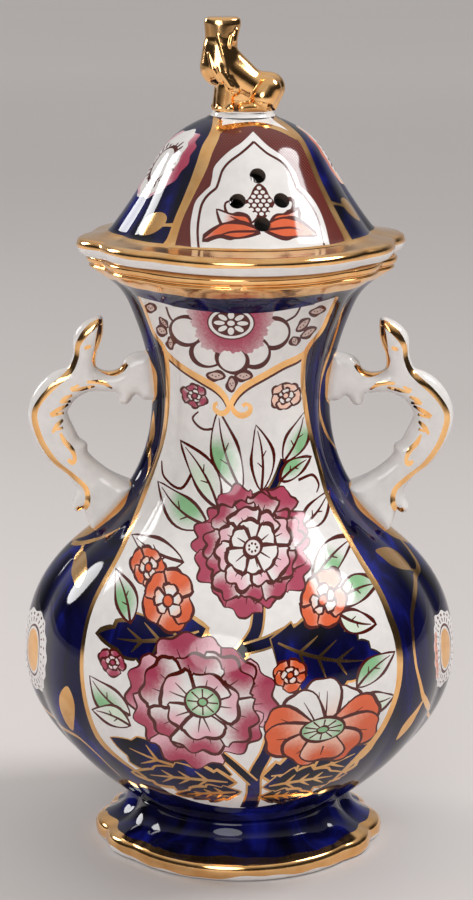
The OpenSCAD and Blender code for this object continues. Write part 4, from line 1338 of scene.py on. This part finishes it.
handleGold = {
    "outer": [(48.8, 189.6, 1.2), (50.4, 191.2, 2.2), (54.6, 188.2, 2.4), (57.8, 183.3, 1.7),
              (58.6, 178.3, 1.6), (61.1, 173.3, 1.8), (67.3, 167.7, 2.0), (71.6, 162.7, 1.8),
              (73.5, 158.3, 1.9), (72.9, 153.3, 2.0), (70.5, 147, 2.0), (65.7, 140.1, 1.9),
              (60.2, 135.7, 1.8), (55.9, 131.9, 1.7), (54.7, 128.7, 1.7), (54.9, 125.6, 1.8),
              (56, 123.8, 1.8), (57.6, 123.2, 1.8), (58.6, 124.2, 1.0)],
    "inner": [(49.6, 190.2, 1.6), (50.4, 186.4, 2.0), (51, 181.4, 2.0), (51.9, 177.1, 1.8),
              (50.1, 174.4, 1.8), (45.6, 173, 2.0), (42.4, 174.4, 1.8), (40.4, 176.4, 1.0)],
    "dot": [(53.2, 183, 0.8), (54.4, 182.5, 1.4), (55.6, 182, 0.7)],
    "zigA": [(45.9, 167.5, 0.6), (48.4, 169.4, 1.2), (51, 170, 1.3), (54.7, 169.9, 0.8)],
    "zigB": [(52, 168.5, 0.8), (56.3, 167.4, 1.3), (60.3, 166.8, 0.7)],
    "zigC": [(57.6, 168.8, 0.7), (60.6, 167.2, 1.1)],
    "zigD": [(60, 165.1, 0.7), (62.4, 164, 1.4), (64.3, 162.4, 0.7)],
    "zigE": [(60.6, 162.7, 0.9), (64.2, 162.6, 0.8)],
    "zigF": [(61.5, 161.6, 0.7), (65, 159.8, 1.4), (68, 158, 0.8)],
    "zigG": [(63.1, 158.6, 0.9), (67.6, 157.6, 0.8)],
    "zigH": [(63.4, 156.1, 0.8), (65.6, 154, 1.4), (67.1, 151.4, 0.7)],
    "zigI": [(63.4, 153.3, 0.8), (65.8, 152.6, 0.8)],
    "comma": [(64.3, 151.4, 0.7), (62.8, 148.3, 1.5), (60.4, 145.5, 1.5), (59.2, 142.3, 1.2),
              (60.1, 140.7, 1.7), (61.7, 141.7, 1.0)],
}


def woundInside(x, z, outline):  # inside by winding, so a stroke may cross itself
    total = np.zeros(len(x), int)
    for (x0, z0), (x1, z1) in zip(outline, np.roll(outline, -1, 0)):
        left = (x1 - x0) * (z - z0) - (x - x0) * (z1 - z0)
        total += ((z0 <= z) & (z1 > z) & (left > 0)).astype(int)
        total -= ((z0 > z) & (z1 <= z) & (left < 0)).astype(int)
    return total != 0


def vaseEdge(z):  # how far in the handle starts, within the wall of the vase
    return reach(vase["profile"], z) - handle["inset"]


def scrollOutline():
    shapes = [stroke(handle[key], 8) for key in ("bow", "horn", "spur", "tuck", "curl")]
    points = []
    edges = []
    for shape in shapes:
        addLoop(points, edges, shape)
    heights = np.arange(96, 200, 0.8)
    start = len(points)
    points += [Vector((vaseEdge(z), z)) for z in heights]
    edges += [(start + k, start + k + 1) for k in range(len(heights) - 1)]
    flat, faces = triangulate(points, edges)
    middle = flat[faces].mean(1)
    keep = np.zeros(len(faces), bool)
    for shape in shapes:
        keep |= woundInside(middle[:, 0], middle[:, 1], shape)
    keep &= middle[:, 0] > vaseEdge(middle[:, 1])
    count = {}
    for f in faces[keep]:
        for i in range(3):
            pair = (int(f[i]), int(f[(i + 1) % 3]))
            count[tuple(sorted(pair))] = count.get(tuple(sorted(pair)), 0) + 1
    nextTo = {}
    for (a, b), n in count.items():
        if n == 1:
            nextTo.setdefault(a, []).append(b)
            nextTo.setdefault(b, []).append(a)
    loops = []
    left = set(nextTo)
    while left:
        loop = [left.pop()]
        while True:
            ahead = [k for k in nextTo[loop[-1]] if k in left]
            if not ahead:
                break
            loop.append(ahead[0])
            left.discard(ahead[0])
        loops.append(loop)
    loop = flat[max(loops, key=len)]
    closed = np.concatenate([loop, loop[:1]])
    along = np.concatenate([[0], np.cumsum(np.hypot(*np.diff(closed, axis=0).T))])
    even = np.linspace(0, along[-1], int(along[-1] / 0.6), endpoint=False)
    loop = np.stack([np.interp(even, along, closed[:, 0]), np.interp(even, along, closed[:, 1])], -1)
    for k in range(6):
        loop = loop * 0.5 + (np.roll(loop, 1, 0) + np.roll(loop, -1, 0)) * 0.25
    return loop


def edgeDistance(points, loop):
    ends = np.roll(loop, -1, 0) - loop
    size = (ends ** 2).sum(1)
    best = np.full(len(points), 1e9)
    for start, way, length in zip(loop, ends, size):
        t = np.clip(((points - start) @ way) / length, 0, 1)
        best = np.minimum(best, ((points - start - t[:, None] * way) ** 2).sum(1))
    return np.sqrt(best)


def halfThickness(points, depth):
    outward = points[:, 0] - vaseEdge(points[:, 1])
    spread = np.clip(1 - outward / handle["flareReach"], 0, 1)
    spread = spread * np.clip((handle["flareTop"] - points[:, 1]) / handle["flareFade"], 0, 1)
    full = handle["thick"] + handle["flare"] * spread ** 2 * (3 - 2 * spread)
    inward = np.minimum(depth, handle["round"])
    arch = handle["round"] ** 2 - (handle["round"] - inward) ** 2
    return full - handle["round"] + np.sqrt(np.maximum(arch, 0))


def makeHandle(name, way):
    loop = scrollOutline()
    canvas = newCanvas(lambda points: np.array(points, float))
    for key, line in handleGold.items():
        weight = handle["zigWeight" if key.startswith("zig") or key == "comma" else "goldWeight"]
        gild(canvas, stroke([(x, z, w * weight) for x, z, w in line], 5))
    normal = np.roll(loop, -1, 0) - np.roll(loop, 1, 0)
    normal = np.stack([-normal[:, 1], normal[:, 0]], -1) / np.hypot(*normal.T)[:, None]
    if not woundInside(*(loop[:1] + 0.05 * normal[:1]).T, loop)[0]:
        normal = -normal
    points = []
    edges = []
    addLoop(points, edges, loop)
    for inward in handle["rings"]:
        ring = (loop + inward * normal)[::1 if inward < 2 else 2]
        ring = ring[edgeDistance(ring, loop) > inward * 0.96]
        points += [Vector(p) for p in ring]
    across, up = np.arange(20, 80, handle["grid"]), np.arange(100, 200, handle["grid"])
    grid = np.stack(np.meshgrid(across, up), -1).reshape(-1, 2)
    grid = grid[woundInside(grid[:, 0], grid[:, 1], loop)]
    points += [Vector(p) for p in grid[edgeDistance(grid, loop) > handle["gridInset"]]]

    def inScroll(middle):
        return woundInside(middle[:, 0], middle[:, 1], loop)

    flat, faces, top = cutPlane(points, edges, canvas["marks"], [], inScroll)
    depth = edgeDistance(flat, loop)
    depth[depth < 1e-4] = 0
    half = halfThickness(flat, depth)
    front = np.stack([way * flat[:, 0], -half, flat[:, 1]], -1)
    back = front * [1, -1, 1]
    count = len(flat)
    pairs = {}
    for f in faces:
        for i in range(3):
            a, b = int(f[i]), int(f[(i + 1) % 3])
            pairs[(a, b)] = pairs.get((a, b), 0) + 1
    rim = [(a, b) for a, b in pairs if (b, a) not in pairs]
    strip = [(b, a, count + a) for a, b in rim] + [(b, count + a, count + b) for a, b in rim]
    facing = faces[:, ::-1] if way < 0 else faces
    both = np.concatenate([facing, facing[:, ::-1] + count, np.array(strip)[:, ::-1 if way < 0 else 1]])
    allTop = np.concatenate([top, top, np.full(len(strip), -1)])
    return paintedMesh(name, np.concatenate([front, back]), both, None, np.concatenate([flat, flat]), allTop,
                       canvas["marks"], "enamel")


for name, node, way in (("handleLeft", "handle_left", -1), ("handleRight", "handle_right", 1)):
    piece = makeHandle(name, way)
    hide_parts(node)
    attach(piece, "vase")


# finial: a seated beast, built from limbs and fused

beast = {
    "scale": 32.5 / 34,
    "base": 266.15,
    "trunk": [
        ((-8.5, 0, 16), 7.5, (-8.5, 0, 23), 6.4),
        ((-7.6, 0, 15.4), 7.2, (2, 0, 8.8), 6.2),
        ((-5.6, 0, 18.6), 5.2, (4.2, 0, 9.4), 4.8),
        ((2, 0, 8.8), 6, (10, 0, 8.2), 5.8),
        ((10, 0, 8.2), 5.8, (9, 0, 2.6), 4.4),
        ((7, 0, 4.4), 5, (-5, 0, 5.6), 5),
    ],
    "pairs": [  # of each pair, the one in front
        ((-7.5, -3.2, 0.6), 3.3, (-6.6, -3.4, 9), 3.3),
        ((-4.2, -3.8, 8.6), 3.2, (-6, -3.6, 12), 3.6),
        ((7, -4.2, 5.2), 5, (8.8, -3.4, 8), 5),
        ((-1, -5, 1.2), 1.8, (7, -5, 1.8), 2.4),
        ((-9.4, -4.4, 1), 1.7, (-5.8, -4.9, 1), 1.9),
        ((-3.4, -4.6, 29.4), 1.0, (-4.2, -4.6, 25.6), 1.2),
        ((-5, -5.6, 27.2), 0.8, (-5.8, -5.8, 23.8), 0.6),
        ((-11.4, -4.4, 24.4), 0.9, (-9.2, -6.6, 14.4), 1.3),
        ((-9.2, -6.6, 14.4), 1.3, (-5.6, -6.6, 9.2), 1.2),
        ((-10, -5.5, 27.6), 0.5, (-8.2, -6.6, 20.4), 0.8),
        ((-8.2, -6.6, 20.4), 0.8, (-6.6, -7, 12.4), 0.6),
        ((-13.2, -4.2, 21), 0.7, (-12, -6, 15.6), 1.0),
        ((-12, -6, 15.6), 1.0, (-9.2, -6.2, 11.2), 0.9),
    ],
    "head": [(-8.4, 20, 6.2), (-8, 26.5, 6.0), (-7.6, 31.6, 6.8), (-7.5, 33.2, 6.6), (-7.5, 33.98, 5.2)],
    "fuse": (0.5, 26),  # voxel in millimetres and smoothing passes of the trunk
    "finish": (0.26, 9),
    "flatFrom": 24,
    "flatten": 0.026,  # of its depth for each millimetre above that
}


def addLimb(start, startSize, end, endSize):
    start, end = Vector(start), Vector(end)
    for place, size in ((start, startSize), (end, endSize)):
        bpy.ops.mesh.primitive_uv_sphere_add(segments=32, ring_count=16, radius=size * mm,
                                             location=place * mm)
    way = end - start
    bpy.ops.mesh.primitive_cone_add(vertices=32, radius1=startSize * mm, radius2=endSize * mm,
                                    depth=way.length * mm, location=(start + end) / 2 * mm,
                                    rotation=way.to_track_quat("Z", "Y").to_euler())


bpy.ops.object.select_all(action="DESELECT")
known = set(bpy.data.objects)


def fuseLimbs(voxel, passes):  # joins the new limbs, and melts them into one skin
    limbs = [piece for piece in bpy.data.objects if piece not in known]
    for piece in limbs:
        piece.select_set(True)
    bpy.context.view_layer.objects.active = limbs[0]
    bpy.ops.object.join()
    fused = bpy.context.object
    bpy.ops.object.transform_apply(location=True, rotation=True, scale=True)
    remesh = fused.modifiers.new("fuse", "REMESH")
    remesh.mode = "VOXEL"
    remesh.voxel_size = voxel * mm
    bpy.ops.object.modifier_apply(modifier="fuse")
    soften = fused.modifiers.new("soften", "SMOOTH")
    soften.factor = 0.5
    soften.iterations = passes
    bpy.ops.object.modifier_apply(modifier="soften")
    return fused


for limb in beast["trunk"]:
    addLimb(*limb)
fuseLimbs(*beast["fuse"])
for start, startSize, end, endSize in beast["pairs"]:
    for side in (1, -1):
        addLimb((start[0], start[1] * side, start[2]), startSize, (end[0], end[1] * side, end[2]), endSize)
for (x0, low, lowSize), (x1, high, highSize) in zip(beast["head"], beast["head"][1:]):
    lean = Vector((x1 - x0, 0, high - low))
    bpy.ops.mesh.primitive_cone_add(vertices=48, radius1=lowSize * mm, radius2=highSize * mm,
                                    depth=lean.length * mm,
                                    location=((x0 + x1) / 2 * mm, 0, (low + high) / 2 * mm),
                                    rotation=lean.to_track_quat("Z", "Y").to_euler())
seatedBeast = fuseLimbs(*beast["finish"])
seatedBeast.name = "seatedBeast"
for vertex in seatedBeast.data.vertices:  # the head flattens towards its top
    vertex.co.y *= 1 - beast["flatten"] * max(vertex.co.z / mm - beast["flatFrom"], 0)
bpy.ops.object.mode_set(mode="EDIT")
bpy.ops.mesh.select_all(action="SELECT")
bpy.ops.mesh.bisect(plane_co=(0, 0, 0), plane_no=(0, 0, 1), clear_inner=True, use_fill=True)
bpy.ops.object.mode_set(mode="OBJECT")
bpy.ops.object.shade_smooth_by_angle(angle=math.radians(50))
seatedBeast.scale = (beast["scale"],) * 3
seatedBeast.rotation_euler = (0, 0, math.radians(lid["turn"]))
seatedBeast.location = (0, 0, beast["base"] * mm)
bpy.ops.object.transform_apply(location=True, rotation=True, scale=True)
seatedBeast.data.materials.append(coatMaterials[coats.index("gold")])
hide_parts("finial")
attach(seatedBeast, "cover")
print("beast seated")


# floor, lamps and camera

studio = {
    "lamps": [
        ("lampRight", (0.98, 0.08, 1.19), 0.66, 0.58, 13.0),
        ("lampLeft", (-1.1, 0.66, 0.68), 0.4, 0.6, 7.0),
        ("lampFront", (-0.6, -2.4, 1.15), 1.6, 1.6, 28.0),
    ],
    "lampAim": (0, 0, 0.13),
    "skyTint": (1.0, 0.985, 0.97, 1.0),
    "horizon": 0.03,
    "zenith": 0.66,
    "skyRise": (0.28, 0.85),
    "backdrop": 0.36,
    "backdropRise": (0.55, 0.92),
    # painted light and shade on the floor: its tint rises and falls with distance from the camera
    "floorPaintedLight": [(0.0, (196, 190, 188)), (0.24, (240, 234, 232)), (0.35, (208, 202, 200)),
                    (0.51, (192, 186, 184)), (1.0, (238, 232, 230))],
    "floorRun": (-1.6, 3.0),  # from before the vase to behind it, in metres
    "floorMottle": 0.04,
    "cameraLens": 116.3,
    "cameraPlace": (-0.00888, -1.01766, 0.3735),
    "cameraTurn": (-0.5, 12.69, 0.35),  # round, down and over, in degrees
    "cameraShift": -4.1 / 900,
}
bpy.ops.object.select_all(action="DESELECT")
bpy.ops.mesh.primitive_plane_add(size=24, location=(0, 0, 0))
floor = bpy.context.object
floor.name = "floor"
paper, tree, surface = newMaterial("floorPaper", 0.65)
grain = addNode(tree, "ShaderNodeTexNoise", -500, 100, {"Scale": 3.0})
fade = addRamp(tree, -300, 100, studio["floorPaintedLight"])
place = addNode(tree, "ShaderNodeTexCoord", -1100, 100)
apart = addNode(tree, "ShaderNodeSeparateXYZ", -900, -100)
near, far = studio["floorRun"]
run = {"From Min": near, "From Max": far, "To Max": 1 - studio["floorMottle"]}
away = addNode(tree, "ShaderNodeMapRange", -700, -100, run)  # painted pool of light: palest just before the vase
mottle = addNode(tree, "ShaderNodeMath", -500, -100, {1: studio["floorMottle"]}, operation="MULTIPLY_ADD")
link(tree, place, "Object", grain, "Vector")
link(tree, place, "Object", apart, "Vector")
link(tree, apart, "Y", away, "Value")
link(tree, grain, "Fac", mottle, 0)
link(tree, away, "Result", mottle, 2)
link(tree, mottle, "Value", fade, "Fac")
link(tree, fade, "Color", surface, "Base Color")
floor.data.materials.append(paper)

for name, place, wide, high, power in studio["lamps"]:
    data = bpy.data.lights.new(name, "AREA")
    data.shape = "ELLIPSE"
    data.size = wide
    data.size_y = high
    data.energy = power
    lamp = bpy.data.objects.new(name, data)
    lamp.location = place
    lamp.rotation_euler = (Vector(studio["lampAim"]) - Vector(place)).to_track_quat("-Z", "Y").to_euler()
    bpy.context.collection.objects.link(lamp)

sky = bpy.data.worlds.new("studioSky")  # a room that darkens towards its walls
sky.use_nodes = True
tree = sky.node_tree
light = tree.nodes["Background"]
light.inputs["Color"].default_value = studio["skyTint"]
place = addNode(tree, "ShaderNodeTexCoord", -800, 0)
apart = addNode(tree, "ShaderNodeSeparateXYZ", -600, 0)
low, high = studio["skyRise"]
run = {"From Min": low, "From Max": high, "To Min": studio["horizon"], "To Max": studio["zenith"]}
rise = addNode(tree, "ShaderNodeMapRange", -400, 0, run, interpolation_type="SMOOTHSTEP")
link(tree, place, "Generated", apart, "Vector")
link(tree, apart, "Z", rise, "Value")
low, high = studio["backdropRise"]  # the pale wall behind
run = {"From Min": low, "From Max": high, "To Max": studio["backdrop"]}
behind = addNode(tree, "ShaderNodeMapRange", -400, -300, run, interpolation_type="SMOOTHSTEP")
both = addNode(tree, "ShaderNodeMath", -200, 0, operation="ADD")
link(tree, apart, "Y", behind, "Value")
link(tree, rise, "Result", both, 0)
link(tree, behind, "Result", both, 1)
link(tree, both, "Value", light, "Strength")
bpy.context.scene.world = sky

camera = bpy.data.objects.new("camera", bpy.data.cameras.new("camera"))
camera.data.lens = studio["cameraLens"]
camera.data.sensor_width = 36
camera.data.shift_x = studio["cameraShift"]
camera.location = studio["cameraPlace"]
turned, down, over = (math.radians(v) for v in studio["cameraTurn"])
aim = Matrix.Rotation(turned, 3, "Z") @ Matrix.Rotation(math.pi / 2 - down, 3, "X")
aim = aim @ Matrix.Rotation(over, 3, "Z")
camera.rotation_euler = aim.to_euler()
bpy.context.collection.objects.link(camera)
bpy.context.scene.camera = camera
bpy.context.scene.view_settings.view_transform = "Standard"
print("studio lit")
